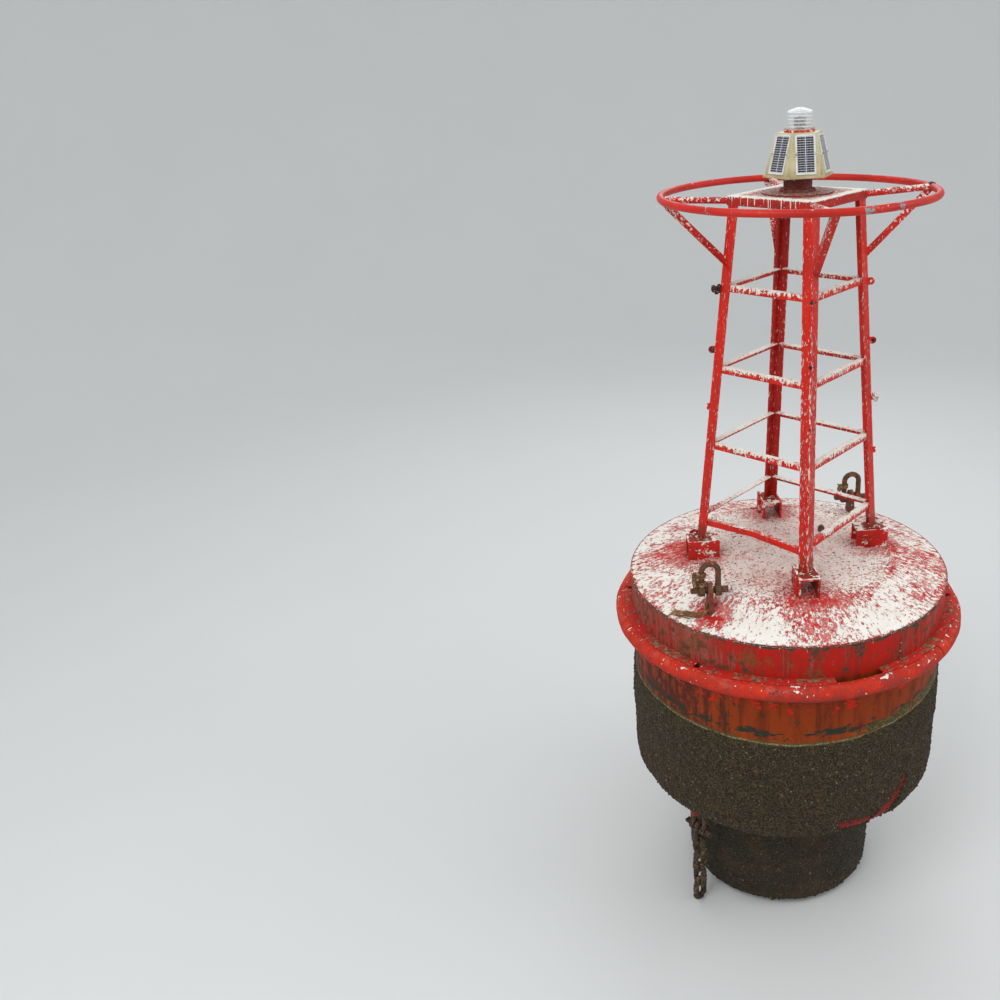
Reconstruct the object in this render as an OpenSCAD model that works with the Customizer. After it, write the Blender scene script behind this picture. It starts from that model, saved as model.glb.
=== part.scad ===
// Lit navigation buoy: welded drum hull on a ballasted tail, with a braced
// angle-iron tower, a guard hoop and a solar lantern.
// Origin on the floor under the tail, +Z up, the front leg on -Y.

/* [Hull] */
// Radius of the drum
hull_r = 1200; // [900:10:1500]
// Height of the straight side, from the knuckle to the deck edge
side_h = 1590; // [1200:10:1900]
// Radius of the rolled knuckle below the side
knuckle_r = 120; // [60:5:180]
// Width of the flat ring of the bottom, inside the knuckle
bottom_flat_w = 190; // [170:5:260]
// Rise from the tail tube out to the flat ring of the bottom
bottom_cone_h = 80; // [30:5:140]
// Thickness of the deck plate
deck_t = 12; // [8:1:20]
// Radius of the weld where the deck turns flatter
deck_crease_r = 780; // [775:5:860]
// Rise of the deck from its edge to that weld
deck_crease_h = 115; // [60:5:160]
// Rise of the deck from its edge to its middle
deck_crown_h = 150; // [120:5:200]
// Radius of the pressure-test plug on the deck
plug_r = 26; // [15:1:40]

/* [Fender] */
// Radius of the rubber fender tube
fender_r = 60; // [45:1:80]
// Height of the deck edge above the upper fender flange
flange_drop = 256; // [180:2:340]
// Width of the upper fender flange
flange_w = 72; // [55:1:80]
// Width of the lower fender flange
lower_flange_w = 58; // [40:1:80]
// Thickness of both fender flanges
flange_t = 12; // [8:1:20]

/* [Tail] */
// Radius of the tail tube
tail_r = 620; // [520:5:700]
// Length of tail tube that shows between bottom and ballast
tail_show_h = 284; // [260:5:640]
// Radius of the ballast stack
ballast_r = 750; // [720:5:800]
// Thickness of one ballast layer
layer_h = 98; // [70:1:130]
// Joint between two ballast segments, in degrees
segment_joint_deg = 0.4; // [0.2:0.1:1.5]
// Thickness of the flange that carries the ballast
tail_flange_t = 20; // [12:1:30]
// Radius of the tie rods
rod_r = 17; // [12:1:22]
// Height of the nuts on the tie rods
rod_nut_h = 50; // [30:1:70]
// Length of tie rod that stands out past a nut
rod_end_h = 10; // [5:1:30]

/* [Growth] */
// Thickness of the shell growth
growth_t = 24; // [15:1:30]
// Depth of the growth's upper edge below the deck edge
growth_drop = 780; // [600:10:1000]

/* [Tower] */
// Radius from the axis to a leg's heel, at the height of the deck edge
leg_base_r = 713; // [660:1:740]
// Radius from the axis to a leg's heel, at the lantern platform
leg_top_r = 450; // [400:1:520]
// Height of the lantern platform above the deck edge
platform_h = 2730; // [2500:5:3000]
// Width of a leg's flanges
leg_w = 75; // [65:1:100]
// Thickness of a leg's flanges
leg_t = 8; // [6:0.5:12]
// Width of a girt's flanges
girt_w = 45; // [35:1:50]
// Thickness of a girt's flanges
girt_t = 5; // [4:0.5:8]
// Height of the lowest girts above the deck edge
girt_first_h = 475; // [420:5:600]
// Height from one ring of girts to the next
girt_step = 562; // [450:2:600]
// Sag of the bent girt at its middle
bent_girt_sag = 24; // [0:1:40]
// Height of the lowest ear for a daymark, above the deck edge
ear_first_h = 1305; // [1230:5:1400]
// Height from one ear to the next
ear_step = 412; // [300:2:430]
// Reach of an ear past the leg's heel
ear_w = 45; // [35:1:60]
// Radius of the bolt hole in an ear
ear_hole_r = 9; // [6:0.5:11]

/* [Feet] */
// Length of a foot along the radius
foot_l = 240; // [200:5:260]
// Reach of a foot past the leg's heel
foot_toe = 78; // [60:1:90]
// Width of a foot
foot_w = 150; // [130:2:180]
// Height of a foot's top above the deck edge
foot_top_h = 265; // [230:5:300]
// Thickness of a foot's plates
foot_t = 14; // [10:1:18]
// Thickness of the leg's own base plate
leg_plate_t = 10; // [6:1:16]

/* [Platform] */
// Half the side of the lantern platform
platform_half = 330; // [320:1:400]
// Thickness of the platform's plate
platform_t = 6; // [4:1:12]
// Depth of the platform's skirt
skirt_h = 60; // [40:1:80]
// Radius of the guard hoop
hoop_r = 895; // [800:5:1000]
// Radius of the guard hoop's pipe
hoop_pipe_r = 24; // [18:0.5:30]
// Radius of the spokes' pipe
spoke_r = 21; // [15:0.5:24]
// Depth of the hoop's middle below the platform's top
hoop_drop = 6; // [0:1:20]
// Width of the flanges of the hoop's braces
brace_w = 45; // [30:1:55]
// Thickness of the hoop's braces
brace_t = 5; // [4:0.5:8]
// Depth of a brace's foot on the leg, below the platform
brace_foot_drop = 405; // [300:5:480]

/* [Lantern] */
// Radius of the round pad under the lantern
pad_r = 235; // [200:5:300]
// Radius of the lantern's neck
neck_r = 93; // [70:1:120]
// Height of the neck between its flange and the housing
neck_h = 80; // [50:1:120]
// Radius of the housing's corners at its base
housing_r = 228; // [180:1:260]
// Radius of the housing's corners at its top
housing_top_r = 149; // [120:1:170]
// Height of the sloping housing
housing_h = 250; // [200:1:300]
// Width of a solar panel
panel_w = 130; // [90:1:136]
// Length of a solar panel
panel_l = 240; // [160:1:250]
// Thickness of a solar panel
panel_t = 8; // [5:0.5:14]
// Radius of the lens
lens_r = 82; // [60:1:100]
// Height of the lens, without its dome
lens_h = 104; // [80:1:140]
// Wall of the lens
lens_wall = 6; // [4:0.5:10]
// Length of the bird spike
spike_h = 48; // [20:1:80]

/* [Rigging] */
// Distance from the deck edge in to the lifting eyes
padeye_inset = 225; // [190:5:270]
// Height of a lifting eye's hole above the deck edge
padeye_hole_h = 198; // [185:1:230]
// Thickness of a lifting eye
padeye_t = 36; // [25:1:60]
// Radius of a shackle's pin
pin_r = 24; // [18:0.5:25]
// Radial clearance round a shackle's pin
pin_clear = 0.5; // [0.3:0.1:1]
// Radius of a shackle's rod
shackle_rod_r = 21; // [16:0.5:24]
// Width between a shackle's legs
shackle_gap = 74; // [66:1:90]
// Length of a shackle's opening, from the pin to the bow
shackle_open_l = 160; // [120:1:200]
// Radius of a mooring eye's bar
eye_bar_r = 25; // [20:0.5:30]
// Width inside a mooring eye
eye_gap = 80; // [70:1:90]
// Length of a mooring eye's straight legs
eye_leg_h = 90; // [60:1:140]
// Radius of the mooring chain's bar
link_bar_r = 19; // [14:0.5:20]
// Length inside a chain link
link_open_l = 152; // [130:1:180]
// Width inside a chain link
link_gap = 51; // [51:1:60]

/* [Hidden] */

$fn = 96;
red = [0.72, 0.09, 0.05];
dark_red = [0.42, 0.12, 0.09];
oxide = [0.45, 0.17, 0.08];
rust = [0.33, 0.20, 0.12];
shell_brown = [0.22, 0.19, 0.14];
seat = 0.3;                 // running gap between pieces that touch in use
touch = 0.02;               // gap between pieces that are fixed face to face
big = 3000;                 // size of the blocks that trim a piece

// Heights, from the floor up
layers = 7;
flange_z = rod_end_h + rod_nut_h;
ballast_z = flange_z + tail_flange_t;
ballast_top = ballast_z + layers * layer_h;
bottom_in_z = ballast_top + tail_show_h;
bottom_z = bottom_in_z + bottom_cone_h;
side_z = bottom_z + knuckle_r;
deck_z = side_z + side_h;
platform_z = deck_z + platform_h;
hoop_z = platform_z - hoop_drop;
bottom_flat_r = hull_r - knuckle_r - bottom_flat_w;

// Outer profile of the drum from the tail up to the deck edge, grown by t
knuckle_steps = 12;
function knuckle_arc(t) = [for (i = [0 : knuckle_steps])
    let (a = -90 + 90 * i / knuckle_steps)
    [hull_r - knuckle_r + (knuckle_r + t) * cos(a), side_z + (knuckle_r + t) * sin(a)]];

// Height of the deck's upper face at radius r
function deck_top(r) = r > deck_crease_r
    ? deck_z + deck_crease_h * (hull_r - r) / (hull_r - deck_crease_r)
    : deck_z + deck_crease_h + (deck_crown_h - deck_crease_h) * (deck_crease_r - r) / deck_crease_r;

module drum() {
    color(oxide) drum_solid();
}

module drum_solid() {
    rotate_extrude($fn = 180) polygon(concat(
        [[0, bottom_in_z], [tail_r, bottom_in_z], [bottom_flat_r, bottom_z]],
        knuckle_arc(0),
        [[hull_r, deck_z - deck_t], [deck_crease_r, deck_top(deck_crease_r) - deck_t],
         [0, deck_top(0) - deck_t]]));
}

module deck() {
    color(red) rotate_extrude($fn = 180) polygon([
        [0, deck_top(0) - deck_t], [deck_crease_r, deck_top(deck_crease_r) - deck_t],
        [hull_r, deck_z - deck_t], [hull_r, deck_z],
        [deck_crease_r, deck_top(deck_crease_r)], [0, deck_top(0)]]);
}

// Everything below the deck's upper face: it trims what stands on the deck
module below_deck() {
    rotate_extrude($fn = 180) polygon([
        [0, deck_z - big / 2], [hull_r, deck_z - big / 2], [hull_r, deck_z],
        [deck_crease_r, deck_top(deck_crease_r)], [0, deck_top(0)]]);
}

plug_at = [329, 235];
plug_h = 30;
module deck_plug() {
    color(rust) difference() {
        translate([plug_at[0], plug_at[1], deck_z]) {
            cylinder(r = plug_r, h = deck_crown_h + plug_h / 2);
            cylinder(r = plug_r * 0.7, h = deck_crown_h + plug_h, $fn = 6);
        }
        below_deck();
    }
}

// Fender: upper flange plates as [first, last] in degrees, one stretch missing
upper_plates = [[-70, -12], [-10, 48], [50, 108], [110, 168], [170, 228], [230, 274]];
flange_top_z = deck_z - flange_drop;
fender_z = flange_top_z - flange_t - fender_r;
fender_joints = [-45, 75, 195];
fender_joint_deg = 0.5;
fender_ring_r = hull_r + fender_r + 12;

module ring_plate(first, last, w, z, t) {
    rotate([0, 0, first]) translate([0, 0, z])
        rotate_extrude(angle = last - first, $fn = 180) translate([hull_r, 0]) square([w, t]);
}

module fender_flange_upper() {
    color(red) for (p = upper_plates)
        ring_plate(p[0], p[1], flange_w, flange_top_z - flange_t, flange_t);
}

module fender_flange_lower() {
    color(red) translate([0, 0, fender_z - fender_r - flange_t]) rotate_extrude($fn = 180)
        translate([hull_r, 0]) square([lower_flange_w, flange_t]);
}

module fender() {
    color([0.6, 0.12, 0.08]) for (a = fender_joints)
        rotate([0, 0, a + fender_joint_deg / 2]) translate([0, 0, fender_z])
            rotate_extrude(angle = 120 - fender_joint_deg, $fn = 180)
                translate([fender_ring_r, 0]) circle(r = fender_r, $fn = 48);
}

// Growth: a crust round the side and knuckle, and one round the tail
growth_lip = 60;
module growth_hull() {
    color(shell_brown) rotate_extrude($fn = 180) polygon(concat(
        knuckle_arc(growth_t),
        [[hull_r + growth_t, deck_z - growth_drop - growth_lip], [hull_r, deck_z - growth_drop]],
        [for (i = [knuckle_steps : -1 : 0]) knuckle_arc(0)[i]]));
}

module growth_tail() {
    color(shell_brown) {
        translate([0, 0, ballast_z]) difference() {
            cylinder(r = ballast_r + growth_t, h = layers * layer_h, $fn = 180);
            translate([0, 0, -1]) cylinder(r = ballast_r + touch, h = layers * layer_h + 2, $fn = 180);
        }
        difference() {
            translate([0, 0, ballast_top]) cylinder(r = tail_r + growth_t, h = tail_show_h);
            cylinder(r = tail_r, h = bottom_z, $fn = 180);
            brackets(seat);
        }
    }
}

// Tail
tail_flange_r = ballast_r - 14;
rods = 12;
rod_ring_r = (tail_r + ballast_r) / 2;
rod_hole_r = rod_r + pin_clear;

module rod_holes(z, h) {
    for (i = [0 : rods - 1]) rotate([0, 0, (i + 0.5) * 360 / rods])
        translate([rod_ring_r, 0, z]) cylinder(r = rod_hole_r, h = h, $fn = 32);
}

module tail_tube() {
    color(oxide) difference() {
        union() {
            translate([0, 0, flange_z]) cylinder(r = tail_r, h = bottom_in_z - flange_z, $fn = 180);
            translate([0, 0, flange_z]) cylinder(r = tail_flange_r, h = tail_flange_t, $fn = 180);
        }
        rod_holes(flange_z - 1, tail_flange_t + 2);
    }
}

// Brackets that bolt the tail to the bottom: two gussets on a bolted shelf
bracket_w = 130;
bracket_out = 120;
bracket_h = 170;
bracket_t = 14;
module bracket(grow) {
    top = bracket_h + bottom_cone_h;
    gusset = [[-grow, -2 * grow], [bracket_out + grow, bracket_h * 0.45 - 2 * grow],
        [bracket_out + grow, top], [-grow, top]];
    for (s = [-1, 1]) translate([tail_r, s * (bracket_w - bracket_t) / 2 + bracket_t / 2 + grow,
            bottom_in_z - bracket_h]) rotate([90, 0, 0])
        linear_extrude(bracket_t + 2 * grow) polygon(gusset);
    translate([tail_r - grow, -bracket_w / 2, bottom_in_z - bracket_h * 0.5 - grow])
        cube([bracket_out + 2 * grow, bracket_w, bracket_t + 2 * grow]);
}

module brackets(grow) {
    for (a = [0 : 90 : 270]) rotate([0, 0, a + 20]) bracket(grow);
}

module tail_brackets() {
    color(oxide) difference() {
        brackets(0);
        translate([0, 0, flange_z]) cylinder(r = tail_r, h = bottom_z, $fn = 180);
        drum_solid();
    }
}

segments = 6;
segment_edge = 6;
module ballast_layer(i) {
    z = ballast_z + i * layer_h;
    color(oxide) difference() {
        for (s = [0 : segments - 1])
            rotate([0, 0, (s + (i % 2) / 2) * 360 / segments + segment_joint_deg / 2])
                translate([0, 0, z]) rotate_extrude(angle = 360 / segments - segment_joint_deg, $fn = 180)
                    polygon([[tail_r + 2, 0], [ballast_r - segment_edge, 0],
                        [ballast_r, segment_edge], [ballast_r, layer_h - touch - segment_edge],
                        [ballast_r - segment_edge, layer_h - touch], [tail_r + 2, layer_h - touch]]);
        rod_holes(z - 1, layer_h + 2);
    }
}

module ballast_layer_1() { ballast_layer(0); }
module ballast_layer_2() { ballast_layer(1); }
module ballast_layer_3() { ballast_layer(2); }
module ballast_layer_4() { ballast_layer(3); }
module ballast_layer_5() { ballast_layer(4); }
module ballast_layer_6() { ballast_layer(5); }
module ballast_layer_7() { ballast_layer(6); }

module tie_rods() {
    nut_r = rod_r * 2;
    color(rust) for (i = [0 : rods - 1]) rotate([0, 0, (i + 0.5) * 360 / rods])
        translate([rod_ring_r, 0, 0]) {
            cylinder(r = rod_r, h = ballast_top + rod_nut_h + rod_end_h, $fn = 32);
            translate([0, 0, rod_end_h]) cylinder(r = nut_r, h = rod_nut_h, $fn = 6);
            translate([0, 0, ballast_top]) cylinder(r = nut_r, h = rod_nut_h, $fn = 6);
        }
}

// Tower: each part is drawn for the leg on +X, then turned to its place
leg_deg = [-90, 0, 90, 180];
leg_slope = (leg_base_r - leg_top_r) / platform_h;
leg_tilt = atan(leg_slope);
face_tilt = atan(leg_slope * cos(45));
leg_foot_z = deck_z + foot_top_h + leg_plate_t;
leg_top_z = platform_z - platform_t;

// Radius of the heel, and half the width across the leg's faces, at height h over the deck edge
function heel_r(h) = leg_base_r - leg_slope * h;
function face_d(h) = heel_r(h) * cos(45);

// An angle section with its heel at the origin, pointing along +X
module angle_heel_out(w, t) {
    rotate(135) polygon([[0, 0], [w, 0], [w, t], [t, t], [t, w], [0, w]]);
}

module heel_block() {
    translate([leg_base_r, 0, deck_z]) rotate([0, -leg_tilt, 0])
        linear_extrude(platform_h * 1.1) rotate(135) square(leg_w);
}

// Whole ears of each leg, and the one that is broken off at its bolt hole
whole_ears = [[0, 1, 2], [0, 1, 2], [0, 1, 2], [1, 2]];
broken_ears = [[], [-1], [], [0]];
ear_h = 50;
ear_t = 10;
ear_root = 6;
module at_ear(i) {
    h = ear_first_h + i * ear_step;
    translate([heel_r(h) - ear_root, ear_t / 2, deck_z + h - ear_h / 2]) rotate([90, 0, 0])
        linear_extrude(ear_t) children();
}

module ears(k) {
    for (i = whole_ears[k]) at_ear(i) difference() {
        union() {
            square([ear_w + ear_root - ear_h / 2, ear_h]);
            translate([ear_w + ear_root - ear_h / 2, ear_h / 2]) circle(r = ear_h / 2);
        }
        translate([ear_w + ear_root - ear_h / 2, ear_h / 2]) circle(r = ear_hole_r, $fn = 32);
    }
    for (i = broken_ears[k]) at_ear(i)
        polygon([[0, 4], [ear_w * 0.45, 0], [ear_w * 0.6, ear_h * 0.3], [ear_w * 0.4, ear_h * 0.6],
            [ear_w * 0.55, ear_h * 0.9], [0, ear_h]]);
}

module leg(k) {
    color(red) rotate([0, 0, leg_deg[k]]) {
        intersection() {
            translate([leg_base_r, 0, deck_z]) rotate([0, -leg_tilt, 0])
                linear_extrude(platform_h * 1.1) angle_heel_out(leg_w, leg_t);
            translate([0, -leg_w, leg_foot_z]) cube([hull_r, leg_w * 2, leg_top_z - leg_foot_z]);
        }
        ears(k);
    }
}

module leg_front() { leg(0); }
module leg_right() { leg(1); }
module leg_back() { leg(2); }
module leg_left() { leg(3); }

// A girt lies on the inner faces of two legs, its flat flange on top.
// It is drawn for the face on +X, with its upper edge at height h.
girt_end = leg_t + girt_w + 4;
module girt(h, sag) {
    half = face_d(h) - girt_end;
    bend = atan(sag / half);
    color(red) translate([face_d(h) - leg_t / cos(face_tilt) - seat / 2, 0, deck_z + h])
        rotate([0, -face_tilt, 0]) for (s = [-1, 1]) intersection() {
            translate([0, 0, -sag]) rotate([-s * bend, 0, 0]) rotate([90, 0, 0])
                translate([0, 0, -half * 1.2]) linear_extrude(half * 2.4)
                    polygon([[0, 0], [-girt_w, 0], [-girt_w, -girt_t], [-girt_t, -girt_t],
                        [-girt_t, -girt_w], [0, -girt_w]]);
            translate([-girt_w * 2, s > 0 ? 0 : -half, -girt_w * 4]) cube([girt_w * 3, half, girt_w * 6]);
        }
}

bent_level = 0;
bent_face = 3;
module girts(level) {
    for (k = [0 : 3]) rotate([0, 0, leg_deg[k] + 45])
        girt(girt_first_h + level * girt_step, level == bent_level && k == bent_face ? bent_girt_sag : 0);
}

module girts_1() { girts(0); }
module girts_2() { girts(1); }
module girts_3() { girts(2); }
module girts_4() { girts(3); }

// Feet: an upside-down channel along the radius, an ear plate on one side
foot_in_r = heel_r(foot_top_h) - foot_l + foot_toe;
lug_side = [-1, 1, 1, -1];
lug_w = 80;
lug_rise = 38;
lug_hole_r = 14;
module foot(k) {
    top_z = deck_z + foot_top_h;
    s = lug_side[k];
    color(red) rotate([0, 0, leg_deg[k]]) difference() {
        union() {
            difference() {
                translate([foot_in_r, -foot_w / 2, deck_z]) cube([foot_l, foot_w, foot_top_h]);
                translate([foot_in_r - 1, -foot_w / 2 + foot_t, deck_z - 1])
                    cube([foot_l + 2, foot_w - 2 * foot_t, foot_top_h - foot_t + 1]);
            }
            translate([heel_r(foot_top_h) - leg_w, -leg_w * 0.8, top_z])
                cube([leg_w * 1.2, leg_w * 1.6, leg_plate_t]);
            translate([foot_in_r + foot_l * 0.55, s * (foot_w + foot_t) / 2 + foot_t / 2, deck_z])
                rotate([90, 0, 0]) linear_extrude(foot_t) {
                    translate([0, 0]) square([lug_w, foot_top_h + lug_rise - lug_w / 2]);
                    translate([lug_w / 2, foot_top_h + lug_rise - lug_w / 2]) circle(r = lug_w / 2);
                }
        }
        translate([foot_in_r + foot_l * 0.55 + lug_w / 2, s * foot_w, top_z + lug_rise - lug_w / 2])
            rotate([s * 90, 0, 0]) cylinder(r = lug_hole_r, h = foot_w / 2, $fn = 32);
        rotate([0, 0, -leg_deg[k]]) below_deck();
    }
}

module foot_front() { foot(0); }
module foot_right() { foot(1); }
module foot_back() { foot(2); }
module foot_left() { foot(3); }

// Platform, turned so that its corners are over the legs
module platform_block(half, z, h) {
    rotate([0, 0, 45]) translate([-half, -half, z]) cube([2 * half, 2 * half, h]);
}

module lantern_platform() {
    color(red) {
        platform_block(platform_half, platform_z - platform_t, platform_t);
        difference() {
            platform_block(platform_half, platform_z - skirt_h, skirt_h);
            platform_block(platform_half - platform_t, platform_z - skirt_h - 1, skirt_h + 2);
        }
    }
}

module guard_hoop() {
    color(red) translate([0, 0, hoop_z]) hoop_tube(hoop_pipe_r);
}

module hoop_tube(r) {
    rotate_extrude($fn = 180) translate([hoop_r, 0]) circle(r = r, $fn = 48);
}

spoke_in_z = platform_z - skirt_h / 2;
spoke_in_r = platform_half * sqrt(2);
spoke_deg = atan((hoop_z - spoke_in_z) / (hoop_r - spoke_in_r));
module spoke(r, short) {
    translate([spoke_in_r, 0, spoke_in_z]) rotate([0, 90 - spoke_deg, 0])
        translate([0, 0, -60]) cylinder(r = r, h = 60 + (hoop_r - spoke_in_r) / cos(spoke_deg) - short);
}

module hoop_spokes() {
    color(red) difference() {
        for (a = leg_deg) rotate([0, 0, a]) spoke(spoke_r, hoop_pipe_r + seat);
        platform_block(platform_half + seat, platform_z - skirt_h - big / 2, big);
    }
}

// A brace runs up from a leg's heel to the hoop, along the radius
brace_foot_r = heel_r(platform_h - brace_foot_drop);
brace_rise = brace_foot_drop - hoop_drop;
brace_deg = atan(brace_rise / (hoop_r - brace_foot_r));
module brace() {
    translate([brace_foot_r, 0, platform_z - brace_foot_drop]) rotate([0, 90 - brace_deg, 0])
        translate([0, 0, -leg_w]) linear_extrude(leg_w + brace_rise / sin(brace_deg))
            polygon([[-brace_w / 2, 0], [brace_w / 2, 0], [brace_w / 2, brace_w],
                [brace_w / 2 - brace_t, brace_w], [brace_w / 2 - brace_t, brace_t],
                [-brace_w / 2, brace_t]]);
}

module hoop_braces() {
    color(red) for (a = leg_deg) rotate([0, 0, a]) difference() {
        brace();
        heel_block();
        spoke(spoke_r + seat, 0);
        translate([0, 0, hoop_z]) hoop_tube(hoop_pipe_r + seat);
        translate([0, -leg_w, hoop_z]) cube([hull_r, 2 * leg_w, leg_w * 2]);
    }
}

// Lantern
pad_t = 8;
neck_flange_r = neck_r + 24;
neck_flange_t = 14;
neck_z = platform_z + pad_t + neck_flange_t;
housing_z = neck_z + neck_h;
lip_t = 14;
housing_deg = 2;
panel_slope = atan((housing_r - housing_top_r) * cos(30) / housing_h);
clip_r = 11;
neck_bolts = 8;
neck_flare = 16;
neck_flare_h = 24;
module lantern_pedestal() {
    color(dark_red) {
        translate([0, 0, platform_z + touch]) cylinder(r = pad_r, h = pad_t);
        translate([0, 0, platform_z + pad_t]) cylinder(r = neck_flange_r, h = neck_flange_t);
        for (i = [0 : neck_bolts - 1]) rotate([0, 0, (i + 0.5) * 360 / neck_bolts])
            translate([(neck_r + neck_flange_r) / 2, 0, neck_z - 1]) cylinder(r = 9, h = 9, $fn = 6);
        translate([0, 0, neck_z - 1]) cylinder(r = neck_r, h = neck_h + 1);
        translate([0, 0, neck_z + neck_h - neck_flare_h])
            cylinder(r1 = neck_r, r2 = neck_r + neck_flare, h = neck_flare_h);
    }
}

// Hollow that widens down each corner of the housing to its lip
hollow_h = housing_h * 0.43;
hollow_w = 62;
hollow_d = 26;
module corner_hollow() {
    apex_r = housing_r + (housing_top_r - housing_r) * hollow_h / housing_h;
    out_r = housing_r + 14;
    polyhedron(
        points = [[out_r, -hollow_w, 0], [out_r, hollow_w, 0], [housing_r - hollow_d, 0, 0],
            [apex_r + 1, 0, hollow_h]],
        faces = [[0, 1, 2], [0, 3, 1], [1, 3, 2], [2, 3, 0]]);
}

feet_deg = [8, 52];
module lantern_housing() {
    color([0.66, 0.61, 0.42]) rotate([0, 0, housing_deg]) {
        translate([0, 0, housing_z + touch]) cylinder(r = housing_r + 6, h = lip_t, $fn = 6);
        difference() {
            translate([0, 0, housing_z + lip_t])
                cylinder(r1 = housing_r, r2 = housing_top_r, h = housing_h, $fn = 6);
            for (a = [0 : 60 : 300]) rotate([0, 0, a])
                translate([0, 0, housing_z + lip_t]) corner_hollow();
        }
        for (a = [0 : 60 : 300], b = feet_deg) rotate([0, 0, a + b])
            translate([housing_r * 0.87, 0, housing_z - 8]) cylinder(r = 6, h = 9, $fn = 12);
    }
}

// Window of a panel: its corners are cut, and the cells lie sunk in it
window_edge = 10;
window_cut = 16;
window_d = 3;
module panel_window() {
    w = panel_w / 2 - window_edge;
    l = panel_l / 2 - window_edge;
    c = window_cut;
    translate([panel_t - window_d, 0, panel_l / 2]) rotate([90, 0, 90]) linear_extrude(panel_t)
        polygon([[c - w, -l], [w - c, -l], [w, c - l], [w, l - c], [w - c, l], [c - w, l],
            [-w, l - c], [-w, c - l]]);
}

module solar_panels() {
    slant = housing_h / cos(panel_slope);
    color([0.12, 0.13, 0.2]) for (a = [30 : 60 : 330]) rotate([0, 0, housing_deg + a])
        translate([housing_r * cos(30), 0, housing_z + lip_t]) rotate([0, -panel_slope, 0])
            translate([0, 0, (slant - panel_l) / 2]) {
                difference() {
                    translate([0, -panel_w / 2, 0]) cube([panel_t, panel_w, panel_l]);
                    panel_window();
                }
                for (s = [-1, 1]) translate([0, s * panel_w / 2, panel_l / 2]) rotate([0, 90, 0])
                    cylinder(r = clip_r, h = panel_t, $fn = 32);
            }
}

ring_z = housing_z + lip_t + housing_h;
ring_h = 14;
lens_z = ring_z + ring_h;
lens_ribs = 5;
rib_out = 3;
dome_h = 26;
ring_tabs = 9;
module lens_ring() {
    color(red) translate([0, 0, ring_z + touch]) {
        cylinder(r = lens_r + 17, h = ring_h - 2 * touch);
        for (i = [0 : ring_tabs - 1]) rotate([0, 0, i * 360 / ring_tabs])
            translate([lens_r + 4, -7, ring_h / 2]) cube([11, 14, ring_h / 2 + 7]);
    }
}

module lantern_lens() {
    rib_h = lens_h / lens_ribs;
    color([0.85, 0.9, 0.92, 0.4]) translate([0, 0, lens_z]) rotate_extrude() polygon(concat(
        [[lens_r - lens_wall, 0]],
        [for (i = [0 : lens_ribs - 1]) each [[lens_r - rib_out, i * rib_h], [lens_r, (i + 0.25) * rib_h],
            [lens_r, (i + 0.75) * rib_h], [lens_r - rib_out, (i + 1) * rib_h]]],
        [for (a = [15 : 15 : 75]) [(lens_r - rib_out) * cos(a), lens_h + dome_h * sin(a)]],
        [[0, lens_h + dome_h], [0, lens_h + dome_h - lens_wall]],
        [for (a = [75 : -15 : 0]) [(lens_r - lens_wall) * cos(a), lens_h + (dome_h - lens_wall) * sin(a)]]));
}

led_fins = 10;
module led_array() {
    color([0.5, 0.5, 0.48]) translate([0, 0, lens_z]) {
        cylinder(r = lens_r * 0.5, h = 8);
        cylinder(r = lens_r * 0.22, h = lens_h * 0.75);
        for (i = [1 : 4]) translate([0, 0, i * lens_h * 0.16]) cylinder(r = lens_r * 0.42, h = 4);
        for (i = [0 : led_fins - 1]) rotate([0, 0, i * 360 / led_fins])
            translate([lens_r * 0.16, -1.25, 4]) cube([lens_r * 0.3, 2.5, lens_h * 0.64]);
    }
}

module bird_spike() {
    color([0.8, 0.8, 0.78]) translate([0, 0, lens_z + lens_h + dome_h]) {
        cylinder(r = 6, h = 3);
        cylinder(r = 2, h = spike_h, $fn = 16);
    }
}

// Lifting eyes and their shackles stand on one diameter of the deck
padeye_deg = [225, 45];
padeye_r = 62;
padeye_neck = padeye_r - 3;
padeye_foot = 170;
padeye_z = deck_z + padeye_hole_h;
padeye_ring_r = hull_r - padeye_inset;
function padeye_at(i) = [padeye_ring_r * cos(padeye_deg[i]), padeye_ring_r * sin(padeye_deg[i]), padeye_z];

module padeye(i) {
    color(red) difference() {
        translate(padeye_at(i)) rotate([90, 0, 90]) union() {
            translate([0, 0, -padeye_t / 2]) cylinder(r = padeye_r, h = padeye_t);
            translate([0, 0, -padeye_t / 2]) linear_extrude(padeye_t)
                polygon([[-padeye_neck, 0], [padeye_neck, 0], [padeye_foot / 2, -padeye_hole_h],
                    [-padeye_foot / 2, -padeye_hole_h]]);
        }
        translate(padeye_at(i)) rotate([0, 90, 0]) translate([0, 0, -padeye_t])
            cylinder(r = pin_r + pin_clear, h = padeye_t * 2, $fn = 48);
        below_deck();
    }
}

module padeye_left() { padeye(0); }
module padeye_right() { padeye(1); }

// A shackle, its pin along X at the origin and its bow upwards
shackle_arc_r = shackle_gap / 2 + shackle_rod_r;
shackle_leg_h = pin_r + shackle_open_l - shackle_gap / 2;
boss_r = pin_r * 1.8;
boss_t = shackle_rod_r * 2;
module shackle_bow() {
    difference() {
        union() {
            for (s = [-1, 1]) {
                translate([s * shackle_arc_r, 0, 0])
                    cylinder(r = shackle_rod_r, h = shackle_leg_h, $fn = 48);
                translate([s * shackle_arc_r, 0, 0]) rotate([0, 90, 0]) translate([0, 0, -boss_t / 2])
                    cylinder(r = boss_r, h = boss_t, $fn = 48);
            }
            translate([0, 0, shackle_leg_h]) rotate([90, 0, 0])
                rotate_extrude(angle = 180)
                    translate([shackle_arc_r, 0]) circle(r = shackle_rod_r, $fn = 48);
        }
        rotate([0, 90, 0]) translate([0, 0, -shackle_gap * 2])
            cylinder(r = pin_r + pin_clear, h = shackle_gap * 4, $fn = 48);
    }
}

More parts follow.
